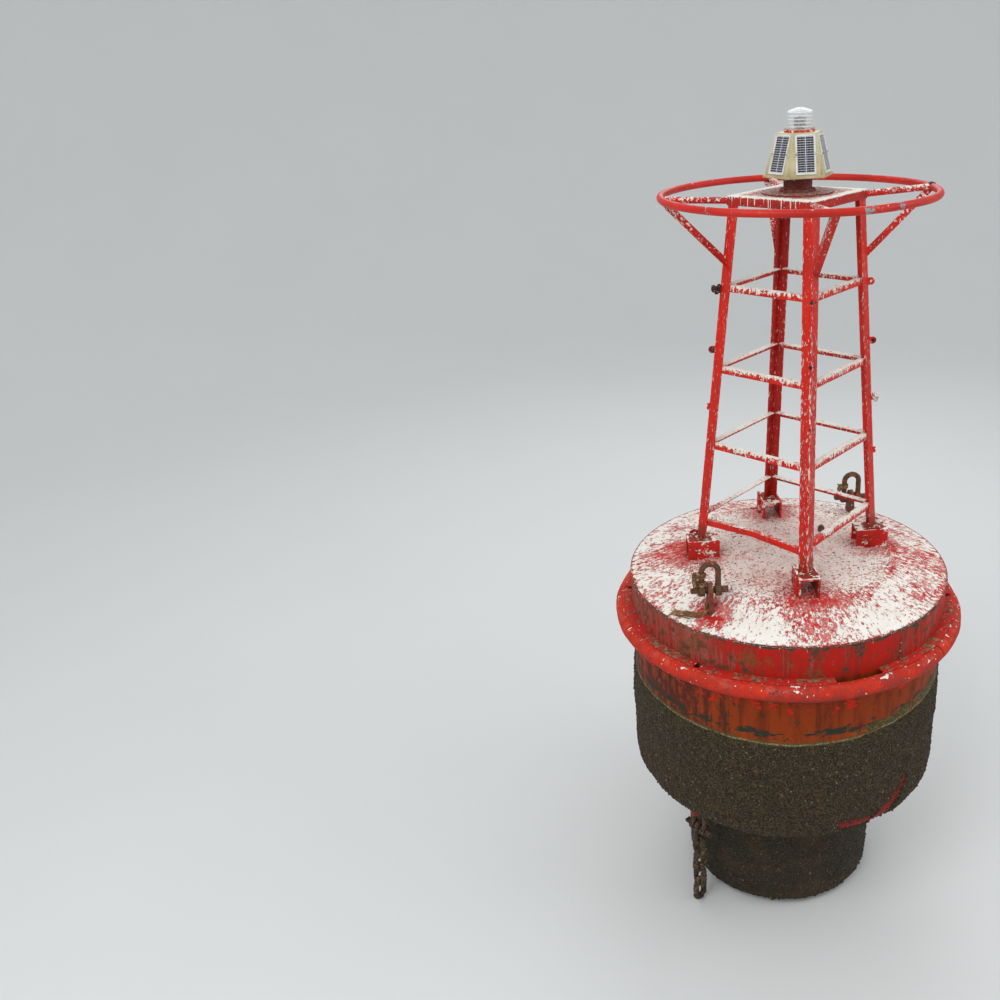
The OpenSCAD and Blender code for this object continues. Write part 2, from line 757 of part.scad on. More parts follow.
pin_end = 50;
pin_head_t = 22;
collar_t = 10;
module shackle_pin() {
    reach = shackle_arc_r + boss_t / 2;
    rotate([0, 90, 0]) {
        translate([0, 0, -reach - collar_t])
            cylinder(r = pin_r, h = 2 * reach + collar_t + pin_end, $fn = 48);
        translate([0, 0, -reach - collar_t]) cylinder(r = pin_r * 1.4, h = collar_t, $fn = 48);
    }
    difference() {
        translate([-reach - collar_t - pin_r * 2, -pin_r, -pin_head_t / 2])
            cube([pin_r * 2, pin_r * 2, pin_head_t]);
        translate([-reach - collar_t - pin_r, 0, -pin_head_t])
            cylinder(r = pin_r * 0.45, h = pin_head_t * 2, $fn = 32);
    }
}

module shackle_left_bow() { color(rust) translate(padeye_at(0)) shackle_bow(); }
module shackle_left_pin() { color(rust) translate(padeye_at(0)) shackle_pin(); }
module shackle_right_bow() { color(rust) translate(padeye_at(1)) shackle_bow(); }
module shackle_right_pin() { color(rust) translate(padeye_at(1)) shackle_pin(); }

// Mooring eyes hang from the middle of the bottom's flat ring, each loop in the radial plane
mooring_deg = [218, 38];
mooring_ring_r = hull_r - knuckle_r - bottom_flat_w / 2;
eye_pad_t = 16;
eye_arc_r = eye_gap / 2 + eye_bar_r;
eye_bar_z = bottom_z - eye_pad_t - eye_leg_h - eye_arc_r;
module mooring_eye(deg) {
    pad_l = 2 * (eye_arc_r + eye_bar_r) - 10;
    color(oxide) rotate([0, 0, deg]) translate([mooring_ring_r, 0, bottom_z]) {
        translate([-pad_l / 2, -eye_bar_r * 1.8, -eye_pad_t]) cube([pad_l, eye_bar_r * 3.6, eye_pad_t]);
        for (s = [-1, 1]) translate([s * eye_arc_r, 0, -eye_pad_t - eye_leg_h])
            cylinder(r = eye_bar_r, h = eye_leg_h, $fn = 48);
        translate([0, 0, -eye_pad_t - eye_leg_h]) rotate([-90, 0, 0])
            rotate_extrude(angle = 180) translate([eye_arc_r, 0]) circle(r = eye_bar_r, $fn = 48);
    }
}

module mooring_eye_left() { mooring_eye(mooring_deg[0]); }
module mooring_eye_right() { mooring_eye(mooring_deg[1]); }

// The mooring shackle hangs bow up in the left eye, across the radius
mooring_pin_z = eye_bar_z + eye_bar_r + seat + shackle_rod_r - shackle_arc_r - shackle_leg_h;
module at_mooring() {
    rotate([0, 0, mooring_deg[0]]) translate([mooring_ring_r, 0, mooring_pin_z])
        rotate([0, 0, 90]) children();
}

module mooring_shackle_bow() { color(rust) at_mooring() shackle_bow(); }
module mooring_shackle_pin() { color(rust) at_mooring() shackle_pin(); }

// Chain links hang in turn across and along the radius
links = 5;
link_arc_r = link_gap / 2 + link_bar_r;
link_half = link_open_l / 2 + link_bar_r - link_arc_r;
link_top_z = mooring_pin_z + pin_r + seat + link_bar_r - link_arc_r - link_half;
link_pitch = link_open_l - seat;
module link() {
    for (s = [-1, 1]) translate([s * link_arc_r, 0, -link_half])
        cylinder(r = link_bar_r, h = 2 * link_half, $fn = 32);
    for (s = [-1, 1]) translate([0, 0, s * link_half]) rotate([s * 90, 0, 0])
        rotate_extrude(angle = 180) translate([link_arc_r, 0]) circle(r = link_bar_r, $fn = 32);
}

module mooring_chain() {
    color(rust) rotate([0, 0, mooring_deg[0]]) for (i = [0 : links - 1])
        translate([mooring_ring_r, 0, link_top_z - i * link_pitch]) rotate([0, 0, (i % 2) * 90]) link();
}

drum();
deck();
deck_plug();
fender_flange_upper();
fender_flange_lower();
fender();
growth_hull();
growth_tail();
tail_tube();
tail_brackets();
ballast_layer_1();
ballast_layer_2();
ballast_layer_3();
ballast_layer_4();
ballast_layer_5();
ballast_layer_6();
ballast_layer_7();
tie_rods();
mooring_eye_left();
mooring_eye_right();
padeye_left();
padeye_right();
foot_front();
foot_right();
foot_back();
foot_left();
leg_front();
leg_right();
leg_back();
leg_left();
girts_1();
girts_2();
girts_3();
girts_4();
lantern_platform();
guard_hoop();
hoop_spokes();
hoop_braces();
lantern_pedestal();
lantern_housing();
solar_panels();
lens_ring();
lantern_lens();
led_array();
bird_spike();
shackle_left_bow();
shackle_left_pin();
shackle_right_bow();
shackle_right_pin();
mooring_shackle_bow();
mooring_shackle_pin();
mooring_chain();
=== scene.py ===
"""Looks of a lit navigation buoy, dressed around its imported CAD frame.

Lengths are in metres and angles in degrees, in the frame's own axes: +Z up the tower and -Y
towards the front leg. Each sub-assembly is a class, and each finish is a frozen dataclass.
"""
import logging
import math
import random
from collections.abc import Callable, Iterator, Sequence
from contextlib import contextmanager
from dataclasses import dataclass
from enum import Enum
from functools import cache

import bmesh
import bpy
from mathutils import Matrix, Vector, noise


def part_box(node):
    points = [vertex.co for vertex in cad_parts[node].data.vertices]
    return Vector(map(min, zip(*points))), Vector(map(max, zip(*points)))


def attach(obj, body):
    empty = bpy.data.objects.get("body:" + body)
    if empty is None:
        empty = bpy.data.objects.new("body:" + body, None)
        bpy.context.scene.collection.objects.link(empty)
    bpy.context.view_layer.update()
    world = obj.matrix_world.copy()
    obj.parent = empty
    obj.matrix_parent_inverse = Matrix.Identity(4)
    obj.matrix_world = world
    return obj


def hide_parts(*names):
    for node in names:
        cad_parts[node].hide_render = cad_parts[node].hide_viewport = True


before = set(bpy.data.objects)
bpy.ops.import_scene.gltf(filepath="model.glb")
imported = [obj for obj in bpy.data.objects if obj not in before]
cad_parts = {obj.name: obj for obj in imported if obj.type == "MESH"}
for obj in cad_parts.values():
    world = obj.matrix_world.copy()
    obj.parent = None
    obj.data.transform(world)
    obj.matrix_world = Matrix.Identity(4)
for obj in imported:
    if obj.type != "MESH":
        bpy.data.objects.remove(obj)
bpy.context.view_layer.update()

log = logging.getLogger("buoy")

Colour = tuple[float, float, float, float]
Place = tuple[float, float, float]
Piece = bpy.types.Object
Surface = bpy.types.Material

# Driving sizes: the frame's where a node's box gives them, else those of the CAD source
HULL_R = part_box("drum")[1].x
FENDER_DROP = 0.256
DECK_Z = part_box("fender_flange_upper")[1].z + FENDER_DROP
PLATFORM_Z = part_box("lantern_platform")[1].z
CRUST_DROP = 0.024
BOTTOM_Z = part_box("growth_hull")[0].z + CRUST_DROP
BOTTOM_IN_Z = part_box("drum")[0].z
BALLAST_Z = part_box("ballast_layer_1")[0].z
BALLAST_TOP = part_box("ballast_layer_7")[1].z
BALLAST_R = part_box("ballast_layer_1")[1].y
KNUCKLE_R = 0.120
TAIL_R = 0.620
CREASE_R = 0.780
CREASE_RISE = 0.115
CROWN_RISE = 0.150
MERGE = 1e-5
LEG_DEG = {"front": -90.0, "right": 0.0, "back": 90.0, "left": 180.0}


class Slot(Enum):
    """The record's material slots, one given with each new piece."""

    HULL = "hull_paint"
    DECK = "deck_paint"
    RED = "red_paint"
    FENDER = "fender_rubber"
    GROWTH = "growth"
    TAIL = "tail_paint"
    RUST = "rusty_steel"
    PEDESTAL = "pedestal_paint"
    HOUSING = "lantern_body"
    CELLS = "solar_cells"
    LENS_RING = "lens_ring_paint"
    LENS = "lens_clear"
    LEDS = "led_core"
    SPIKE = "spike_wire"


def polar(radius: float, degrees: float, z: float = 0.0) -> Vector:
    """Gives the point at a radius, an azimuth and a height."""
    angle = math.radians(degrees)
    return Vector((radius * math.cos(angle), radius * math.sin(angle), z))


def section(radius: float, z: float, reach: float, turns: range) -> list[tuple[float, float]]:
    """Gives a round section as radii and heights.

    Args:
        radius: Radius of its middle.
        z: Height of its middle.
        reach: Its own radius.
        turns: Angles of its corners, in degrees.

    Returns:
        Its corners.
    """
    angles = [math.radians(turn) for turn in turns]
    return [(radius + reach * math.cos(a), z + reach * math.sin(a)) for a in angles]


def azimuth(place: Vector) -> float:
    """Gives the azimuth of a point, in degrees from -180 to 180."""
    return math.degrees(math.atan2(place.y, place.x))


def step(value: float, low: float, high: float) -> float:
    """Gives a smooth step from 0 at low to 1 at high, which may lie below low."""
    share = min(max((value - low) / (high - low), 0.0), 1.0)
    return share * share * (3.0 - 2.0 * share)


def deck_height(radius: float) -> float:
    """Gives the height of the deck's upper face at a radius."""
    if radius > CREASE_R:
        return DECK_Z + CREASE_RISE * (HULL_R - radius) / (HULL_R - CREASE_R)
    return DECK_Z + CREASE_RISE + (CROWN_RISE - CREASE_RISE) * (CREASE_R - radius) / CREASE_R


def srgb(red: int, green: int, blue: int) -> Colour:
    """Turns a colour as seen on a screen into shader light.

    Args:
        red: Red, 0 to 255.
        green: Green, 0 to 255.
        blue: Blue, 0 to 255.

    Returns:
        The colour in linear light, with full alpha.
    """
    def linear(level: int) -> float:
        share = level / 255
        return share / 12.92 if share <= 0.04045 else ((share + 0.055) / 1.055) ** 2.4

    return (linear(red), linear(green), linear(blue), 1.0)


def math_node(operation: str, flipped: bool = False) -> Callable:
    """Makes the method that joins two values by one Math node.

    Args:
        operation: The node's operation.
        flipped: True if the other value comes first.

    Returns:
        The method.
    """
    def method(self: "Value", other: "Operand" = 0.0) -> "Value":
        first, second = (other, self) if flipped else (self, other)
        return self.shader.node("ShaderNodeMath", {"operation": operation}, {0: first, 1: second})

    return method


class Value:
    """A shader socket that takes part in Python sums.

    Attributes:
        shader: The shader that it belongs to.
        socket: The socket.
    """

    __add__ = __radd__ = math_node("ADD")
    __sub__ = math_node("SUBTRACT")
    __rsub__ = math_node("SUBTRACT", flipped=True)
    __mul__ = __rmul__ = math_node("MULTIPLY")
    __truediv__ = math_node("DIVIDE")
    most = math_node("MAXIMUM")
    least = math_node("MINIMUM")
    size = math_node("ABSOLUTE")
    fraction = math_node("FRACT")

    def __init__(self, shader: "Shader", socket: bpy.types.NodeSocket) -> None:
        """Keeps the socket and the shader that it belongs to."""
        self.shader = shader
        self.socket = socket

    def rise(self, low: "Operand", high: "Operand") -> "Value":
        """A smooth step.

        Args:
            low: Where the step starts, at 0.
            high: Where it ends, at 1. It may be below low, for a fall.

        Returns:
            The step, from 0 to 1.
        """
        return self.shader.node(
            "ShaderNodeMapRange", {"interpolation_type": "SMOOTHSTEP"},
            {"Value": self, "From Min": low, "From Max": high})

    def near(self, middle: "Operand", width: float, core: float = 0.0) -> "Value":
        """A soft band that is 0 at width from its middle, and 1 within a share of width."""
        return (self - middle).size().rise(width, width * core)


Operand = Value | float


class Shader:
    """A material under construction, with the patterns that its finishes share."""

    def __init__(self, name: str) -> None:
        """Starts an empty material that reads object coordinates."""
        self.material = bpy.data.materials.new(name)
        self.material.use_nodes = True
        self.tree = self.material.node_tree
        self.tree.nodes.clear()
        self.place = self.node("ShaderNodeTexCoord", out="Object")
        self.x, self.y, self.z = self.parts(self.place)
        self.up = self.parts(self.node("ShaderNodeTexCoord", out="Normal"))[2]

    def node(self, kind: str, settings: dict | None = None, inputs: dict | None = None,
             out: int | str = 0) -> Value:
        """Adds one node.

        Args:
            kind: The node's type.
            settings: The node's own settings, set first.
            inputs: Values or links of its sockets, by name or number.
            out: The output that is wanted.

        Returns:
            That output.
        """
        node = self.tree.nodes.new(kind)
        for key, value in (settings or {}).items():
            setattr(node, key, value)
        for key, value in (inputs or {}).items():
            if isinstance(value, Value):
                self.tree.links.new(value.socket, node.inputs[key])
            else:
                node.inputs[key].default_value = value
        return Value(self, node.outputs[out])

    def ramp(self, factor: Operand, *stops: tuple[float, Colour]) -> Value:
        """Gives the colour that a factor picks between stops."""
        picked = self.node("ShaderNodeValToRGB", inputs={0: factor})
        elements = picked.socket.node.color_ramp.elements
        while len(elements) < len(stops):
            elements.new(0.5)
        for element, (position, colour) in zip(elements, stops):
            element.position = position
            element.color = colour
        return picked

    def length(self, x: Operand, y: Operand) -> Value:
        """Length of a level vector."""
        return self.node("ShaderNodeVectorMath", {"operation": "LENGTH"}, {0: self.vector(x, y, 0.0)},
                         "Value")

    def parts(self, vector: Value) -> tuple[Value, Value, Value]:
        """Splits a vector into X, Y and Z."""
        split = self.node("ShaderNodeSeparateXYZ", inputs={0: vector}).socket.node
        return tuple(Value(self, split.outputs[i]) for i in range(3))

    def vector(self, x: Operand, y: Operand, z: Operand) -> Value:
        """Joins X, Y and Z into a vector."""
        return self.node("ShaderNodeCombineXYZ", inputs={0: x, 1: y, 2: z})

    def stretched(self, across: float, along: float, turn: Place = (0.0, 0.0, 0.0)) -> Value:
        """The place on the object, scaled level and along its height, after a turn in degrees."""
        return self.node("ShaderNodeMapping", inputs={
            "Vector": self.place, "Rotation": tuple(math.radians(a) for a in turn),
            "Scale": (across, across, along)})

    def runs(self, across: float, along: float, detail: float, rough: float) -> Value:
        """Clouds drawn out in upright runs, so many across a metre and along a metre of height."""
        return self.noise(1.0, detail, rough, self.stretched(across, along))

    def noise(self, scale: float, detail: float = 3.0, rough: float = 0.55,
              vector: Value | None = None, warp: float = 0.0) -> Value:
        """Soft clouds.

        Args:
            scale: Clouds in a metre.
            detail: Octaves.
            rough: Strength of each further octave.
            vector: Where to read them, or None for the object's own place.
            warp: Distortion.

        Returns:
            The clouds, around 0.5.
        """
        return self.node("ShaderNodeTexNoise", inputs={
            "Vector": vector or self.place, "Scale": scale, "Detail": detail, "Roughness": rough,
            "Distortion": warp})

    def cells(self, scale: float, out: str = "Distance") -> Value:
        """Cells of a Voronoi pattern: their distance or their colour."""
        return self.node("ShaderNodeTexVoronoi", inputs={"Vector": self.place, "Scale": scale}, out=out)

    def mix(self, factor: Operand, first: "Tint", second: "Tint") -> Value:
        """Blends two colours."""
        return self.node("ShaderNodeMix", {"data_type": "RGBA"}, {0: factor, 6: first, 7: second}, 2)

    def layers(self, base: "Tint", *coats: tuple[Operand, "Tint"]) -> Value:
        """Lays coats over a base colour.

        Args:
            base: The lowest colour.
            coats: Pairs of how much shows and its colour, from the lowest up.

        Returns:
            The colour that shows.
        """
        colour = base
        for share, tint in coats:
            colour = self.mix(share, colour, tint)
        return colour

    def lime(self, clouds: Value) -> Value:
        """Droppings, white and cream."""
        return self.mix(clouds.rise(0.4, 0.7), WHITE_LIME, CREAM_LIME)

    def finish(self, colour: "Tint", roughness: Operand, height: Value | None = None,
               depth: float = 0.0, **sockets: Operand | Colour) -> Surface:
        """Ends the material with its surface.

        Args:
            colour: Base colour.
            roughness: Roughness.
            height: Height of its relief, if it has one.
            depth: How deep a height of 1 is.
            sockets: Further sockets of the surface, with _ for a space.

        Returns:
            The finished material.
        """
        inputs = {"Base Color": colour, "Roughness": roughness, "Specular IOR Level": 0.3}
        inputs |= {key.replace("_", " "): value for key, value in sockets.items()}
        if height:
            inputs["Normal"] = self.node("ShaderNodeBump", inputs={
                "Height": height, "Distance": depth, "Strength": 1.0})
        surface = self.node("ShaderNodeBsdfPrincipled", inputs=inputs)
        output = self.tree.nodes.new("ShaderNodeOutputMaterial")
        self.tree.links.new(surface.socket, output.inputs["Surface"])
        return self.material


Tint = Value | Colour

WHITE_LIME = srgb(236, 233, 226)
CREAM_LIME = srgb(216, 208, 190)
BRIGHT_RED = srgb(208, 32, 14)
RUST_BROWN = srgb(98, 54, 30)
RUST_ORANGE = srgb(166, 84, 34)
SCALE_BLACK = srgb(38, 30, 26)


@dataclass(frozen=True)
class Finish:
    """A material that is made from its settings.

    Attributes:
        name: Name of the material.
    """

    name: str

    def paint(self, s: Shader) -> Surface:
        """Fills the shader. Each finish has its own.

        Args:
            s: The empty shader.

        Returns:
            The finished material.
        """
        raise NotImplementedError


@cache
def made(finish: Finish) -> Surface:
    """Gives a finish's material, built when it is first asked for."""
    return finish.paint(Shader(finish.name))


@dataclass(frozen=True)
class EdgeRust(Finish):
    """Paint worn off along an edge, with rust and black scale under it.

    Attributes:
        worn: How far it is worn, 0 to 1.
    """

    name: str = "edge_rust"
    worn: float = 0.3

    def paint(self, s: Shader) -> Surface:
        """Lays the coats."""
        patchy = s.noise(26.0, 5.0, 0.65)
        long_worn = s.noise(4.0, 2.0)
        worn = (patchy + long_worn * 0.5).rise(0.86 - self.worn * 0.2, 0.92 - self.worn * 0.2)
        black = s.noise(60.0, 3.0).rise(0.45, 0.6)
        colour = s.layers(BRIGHT_RED, (s.noise(9.0).rise(0.4, 0.7), srgb(178, 28, 16)),
                          (worn, s.mix(black, srgb(122, 52, 28), SCALE_BLACK)),
                          (s.noise(50.0, 4.0).rise(0.66, 0.70), WHITE_LIME))
        return s.finish(colour, worn * 0.4 + 0.45, patchy - worn, 0.002)


@dataclass(frozen=True)
class DeckPaint(Finish):
    """Red deck under droppings that rain has combed outwards.

    Attributes:
        foot_ring_r: Radius at which the tower's feet stand.
        across: Combed marks across a metre, at a radius of a metre.
        along: Combed marks along a metre of radius.
        worn: Places where more red shows, or less: each a point, its reach and its strength.
    """

    name: str = "limed_deck"
    foot_ring_r: float = 0.645
    across: float = 36.0
    along: float = 19.0
    worn: tuple[tuple[float, float, float, float], ...] = (
        (-0.90, 0.12, 0.36, 0.050), (-0.68, -0.76, 0.22, 0.110), (-0.30, -0.84, 0.24, 0.030),
        (-0.03, -0.93, 0.26, 0.060), (0.22, -0.82, 0.20, 0.045), (1.00, -0.22, 0.36, 0.050),
        (0.92, -0.66, 0.26, 0.045), (-1.05, -0.40, 0.26, 0.030), (-0.40, -1.00, 0.24, -0.050),
        (0.46, -0.94, 0.28, -0.035), (0.90, 0.50, 0.40, 0.030), (-0.30, 1.00, 0.40, 0.030))

    def paint(self, s: Shader) -> Surface:
        """Lays the coats."""
        radius = s.length(s.x, s.y)
        safe = radius.most(0.05)
        combed_place = s.vector(s.x / safe * self.across, s.y / safe * self.across, radius * self.along)
        combed = s.noise(1.0, 4.0, 0.62, combed_place, 0.3)
        fine = s.noise(2.6, 3.0, 0.6, combed_place)
        spots = s.noise(48.0, 5.0, 0.68, warp=0.5)
        zone = s.noise(3.1, 3.0, 0.5)
        outer = radius.rise(0.60, 0.95)
        inner = radius.rise(0.80, 0.45)
        speck = s.noise(95.0, 3.0, 0.6)
        marks = spots * (1.0 - outer * 0.70) + (combed * 0.62 + fine * 0.38) * (outer * 0.70)
        marks = marks - (speck - 0.5) * 0.10
        ax, ay = s.x.size(), s.y.size()
        foot = s.length(ax.most(ay) - self.foot_ring_r, ax.least(ay))
        halo = foot.rise(0.30, 0.09)
        crease = radius.near(CREASE_R + 0.03, 0.05)
        bare: Operand = zone.rise(0.50, 0.68) * 0.045 + halo * 0.085 + crease * 0.028
        for x, y, reach, strength in self.worn:
            bare = bare + s.length(s.x - x, s.y - y).rise(reach, reach * 0.25) * strength
        bare = bare + radius.rise(1.175, 1.198) * 0.04 - inner * 0.045
        lime = (marks - bare).rise(0.440, 0.485)
        film = (s.noise(9.0, 4.0, 0.6) * 0.4 + spots * 0.3 + combed * 0.3 - bare * 0.9).rise(0.38, 0.46)
        paint = s.layers(srgb(196, 36, 24), (s.noise(14.0).rise(0.35, 0.7), srgb(168, 28, 22)),
                         (halo * s.noise(30.0, 4.0).rise(0.4, 0.6) * 0.5, srgb(120, 30, 34)))
        tint = s.layers(WHITE_LIME, (s.noise(7.0, 4.0).rise(0.48, 0.72) * 0.4, CREAM_LIME),
                        (inner * 0.65, srgb(204, 194, 186)),
                        (inner * s.noise(22.0, 5.0, 0.7).rise(0.50, 0.60) * 0.6, srgb(228, 224, 216)),
                        (inner * s.noise(8.0, 4.0, 0.65).rise(0.54, 0.66) * 0.45, srgb(188, 108, 98)),
                        ((inner * 0.6 + halo * 0.7) * spots.rise(0.44, 0.60) * 0.5, srgb(196, 128, 120)))
        grit = s.noise(120.0, 3.0, 0.7).rise(0.67, 0.72) * (inner * 0.55 + 0.15)
        stain = (s.noise(16.0, 5.0, 0.7) + inner * 0.05).rise(0.670, 0.71)
        pink = s.mix(0.45, srgb(200, 66, 54), WHITE_LIME)
        colour = s.layers(paint, (film * 0.36, pink), (lime, tint), (grit, srgb(84, 74, 64)),
                          (stain * 0.45, srgb(78, 68, 58)))
        height = lime * 0.7 + spots * 0.35 + grit * 0.2
        return s.finish(colour, lime * 0.22 + 0.58 + spots * 0.1, height, 0.003)


@dataclass(frozen=True)
class HullPaint(Finish):
    """The drum's side: red coaming, rusty band with weed, and dark paint under the growth.

    Attributes:
        fender_drop: Depth of the fender's upper flange under the deck edge.
        shore: Depth of the growth's edge under the deck edge, at places across the front.
    """

    name: str = "hull_side"
    fender_drop: float = 0.26
    shore: tuple[tuple[float, float], ...] = (
        (-1.20, 0.820), (-1.07, 0.804), (-0.79, 0.815), (-0.16, 0.826), (0.01, 0.817), (0.30, 0.816),
        (0.53, 0.797), (0.73, 0.785), (1.20, 0.792))

    def paint(self, s: Shader) -> Surface:
        """Lays the coats."""
        depth = DECK_Z - s.z
        runs = s.runs(17.0, 1.6, 5.0, 0.62)
        thin_runs = s.runs(58.0, 5.0, 4.0, 0.6)
        mottle = s.noise(13.0, 5.0, 0.65)
        fine = s.noise(75.0, 4.0, 0.62)
        zone = s.noise(2.0, 3.0)
        left = s.x.rise(-0.35, -0.95)
        colour = s.layers(
            self._coaming(s, depth, runs, thin_runs, mottle, fine, zone, left),
            (depth.rise(self.fender_drop, self.fender_drop + 0.02),
             self._band(s, depth, runs, thin_runs, mottle, fine, left)))
        height = mottle * 0.6 + fine * 0.3 + thin_runs * 0.3
        return s.finish(colour, 0.54 + mottle * 0.3, height, 0.004, Specular_IOR_Level=0.18)

    def _coaming(self, s: Shader, depth: Value, runs: Value, thin_runs: Value, mottle: Value,
                 fine: Value, zone: Value, left: Value) -> Value:
        """Colours the side above the fender."""
        lip = depth.rise(0.05, 0.0)
        blotch = s.noise(6.0, 6.0, 0.72, s.stretched(1.0, 0.6))
        return s.layers(
            srgb(190, 26, 14),
            ((runs * 0.6 + blotch * 0.4 + left * 0.08).rise(0.44, 0.58) * 0.85, srgb(144, 40, 28)),
            ((runs * 0.4 + thin_runs * 0.3 + zone * 0.3 + left * 0.05).rise(0.50, 0.60) * 0.55,
             srgb(160, 98, 90)),
            ((blotch + left * 0.07).rise(0.54, 0.64) * 0.75, srgb(132, 74, 44)),
            ((mottle + zone * 0.3 + left * 0.03).rise(0.70, 0.78), srgb(104, 62, 42)),
            (fine.rise(0.52, 0.64) * 0.55, srgb(112, 44, 34)),
            ((s.noise(48.0, 5.0, 0.7) + left * 0.02).rise(0.60, 0.66) * 0.8, srgb(84, 54, 42)),
            (s.noise(22.0, 6.0, 0.7).rise(0.65, 0.69), srgb(66, 54, 46)),
            ((lip * 0.30 + mottle).rise(0.58, 0.70), srgb(74, 60, 48)),
            ((lip * 0.16 + fine * 0.5 + zone * 0.5).rise(0.62, 0.68) * 0.7, srgb(150, 84, 44)),
            ((thin_runs + depth.rise(0.09, 0.0) * 0.10).rise(0.73, 0.76), WHITE_LIME))

    def _band(self, s: Shader, depth: Value, runs: Value, thin_runs: Value, mottle: Value,
              fine: Value, left: Value) -> Value:
        """Colours the side between the fender and the growth, and what the growth bares."""
        half = self.shore[-1][0]
        stops = (((x + half) / (half * 2), (drop, drop, drop, 1.0)) for x, drop in self.shore)
        edge = s.ramp((s.x + half) / (half * 2), *stops)
        above = edge + (mottle - 0.5) * 0.03 - depth
        right = s.x.rise(0.1, 0.5)
        blots = s.noise(8.0, 6.0, 0.7, s.stretched(1.0, 2.0))
        specks = (s.noise(15.0, 4.0, 0.7) + depth.near(0.50, 0.10) * 0.12).rise(0.68, 0.70)
        blotch = thin_runs * 0.22 + runs * 0.33 + mottle * 0.45
        return s.layers(
            srgb(142, 54, 8), (runs.rise(0.42, 0.66) * 0.8, srgb(108, 38, 10)),
            ((blotch + left * 0.10).rise(0.53, 0.62) * 0.85, srgb(72, 32, 26)),
            ((mottle + depth.near(0.44, 0.12) * 0.08 + left * 0.03).rise(0.62, 0.74) * 0.7,
             srgb(146, 86, 68)),
            (specks, srgb(214, 26, 12)),
            ((s.noise(60.0, 4.0, 0.7) + depth.near(0.50, 0.14) * 0.03).rise(0.66, 0.70) * 0.8,
             srgb(196, 62, 20)),
            (s.noise(34.0, 5.0, 0.7).rise(0.64, 0.68) * 0.8, srgb(58, 34, 26)),
            ((blots + above.near(0.095, 0.085) * 0.20).rise(0.66, 0.70), srgb(46, 48, 34)),
            ((blots * 0.6 + mottle * 0.4 + above.near(0.05, 0.09) * right * 0.20).rise(0.60, 0.66),
             srgb(60, 64, 38)),
            (above.near(0.045, 0.05) * (right * 0.6 + 0.2) * fine.rise(0.54, 0.62), srgb(176, 128, 44)),
            (above.near(0.012, 0.026) * mottle.rise(0.36, 0.50), srgb(74, 74, 42)),
            (above.near(0.002, 0.016) * fine.rise(0.42, 0.56) * 0.8, srgb(158, 154, 118)),
            (above.rise(0.006, -0.010), srgb(70, 66, 42)),
            (depth.rise(0.90, 1.00), self._scraped(s, mottle, fine)))

    def _scraped(self, s: Shader, mottle: Value, fine: Value) -> Value:
        """Colours the plate that shows where the growth is scraped off."""
        return s.layers(srgb(156, 26, 20), (mottle.rise(0.45, 0.65) * 0.7, srgb(112, 26, 22)),
                        (fine.rise(0.46, 0.56) * 0.9, srgb(66, 46, 36)))


@dataclass(frozen=True)
class FlangePaint(Finish):
    """Steel flange of the fender, its paint lifting off in rusty and grey-green patches.

    Attributes:
        scaly: How much of the paint is off, 0 to 1.
    """

    name: str = "flange_paint"
    scaly: float = 0.5

    def paint(self, s: Shader) -> Surface:
        """Lays the coats."""
        mottle = s.noise(18.0, 6.0, 0.7)
        fine = s.noise(80.0, 4.0, 0.6)
        zone = s.noise(3.0, 2.0)
        scaly = (mottle + zone * 0.35 + s.up * 0.04).rise(0.78 - self.scaly * 0.12, 0.86 - self.scaly * 0.12)
        tint = s.ramp(s.noise(34.0, 4.0, 0.6), (0.30, srgb(64, 50, 40)), (0.44, srgb(128, 72, 44)),
                      (0.56, srgb(150, 116, 88)), (0.70, srgb(96, 108, 92)))
        colour = s.layers(srgb(196, 34, 22), (mottle.rise(0.35, 0.6) * 0.6, srgb(148, 34, 28)),
                          (scaly, tint), (fine.rise(0.62, 0.68) * 0.5, srgb(190, 70, 60)),
                          (s.noise(40.0, 4.0, 0.7).rise(0.655, 0.68), WHITE_LIME))
        return s.finish(colour, 0.6 + fine * 0.2, mottle - scaly * 0.5 + fine * 0.3, 0.003)


@dataclass(frozen=True)
class FenderRubber(Finish):
    """Painted rubber with droppings, scuffs and dirt, a painted pinkish highlight along its crown and
    painted shade underneath.
    """

    name: str = "fender_rubber_paint"

    def paint(self, s: Shader) -> Surface:
        """Lays the coats."""
        soft = s.noise(7.0, 4.0)
        fine = s.noise(90.0, 4.0, 0.6)
        runs = s.runs(26.0, 8.0, 4.0, 0.6)
        blots = s.noise(17.0, 4.0, 0.62, warp=0.4)
        small = s.noise(44.0, 3.0, 0.6)
        zone = s.noise(1.7, 2.0)
        # Up-facing crown: droppings gather there, and it also carries a painted highlight.
        crown = s.up.rise(-0.1, 0.9)
        lime = (blots + crown * 0.06 + zone * 0.08).rise(0.725, 0.74)
        lime = lime.most((small + crown * 0.04).rise(0.725, 0.74))
        scuff = (runs * 0.4 + zone * 0.3 + s.noise(20.0, 6.0, 0.7) * 0.3).rise(0.48, 0.60)
        # Mask of the down-facing rubber, which is painted darker red as shade.
        low = s.up.rise(0.1, -0.7)
        colour = s.layers(srgb(208, 50, 24), (soft.rise(0.35, 0.65), srgb(184, 44, 26)),
                          (scuff * 0.75, srgb(142, 56, 50)),
                          # Pale pink patches on the crown are a painted highlight.
                          (crown * s.noise(12.0, 5.0, 0.7).rise(0.50, 0.66) * 0.5, srgb(196, 104, 90)),
                          (s.noise(52.0, 5.0, 0.7).rise(0.58, 0.64) * 0.7, srgb(92, 46, 42)),
                          (s.noise(13.0, 5.0, 0.7).rise(0.64, 0.69) * 0.8, srgb(78, 46, 44)),
                          # Painted shade: darker red on the underside.
                          (low * 0.45, srgb(140, 30, 14)), (fine.rise(0.6, 0.7) * 0.3, srgb(214, 116, 98)),
                          (lime, WHITE_LIME))
        height = lime * 0.6 + fine * 0.3 + soft
        return s.finish(colour, 0.60 + soft * 0.2, height, 0.003, Specular_IOR_Level=0.2)


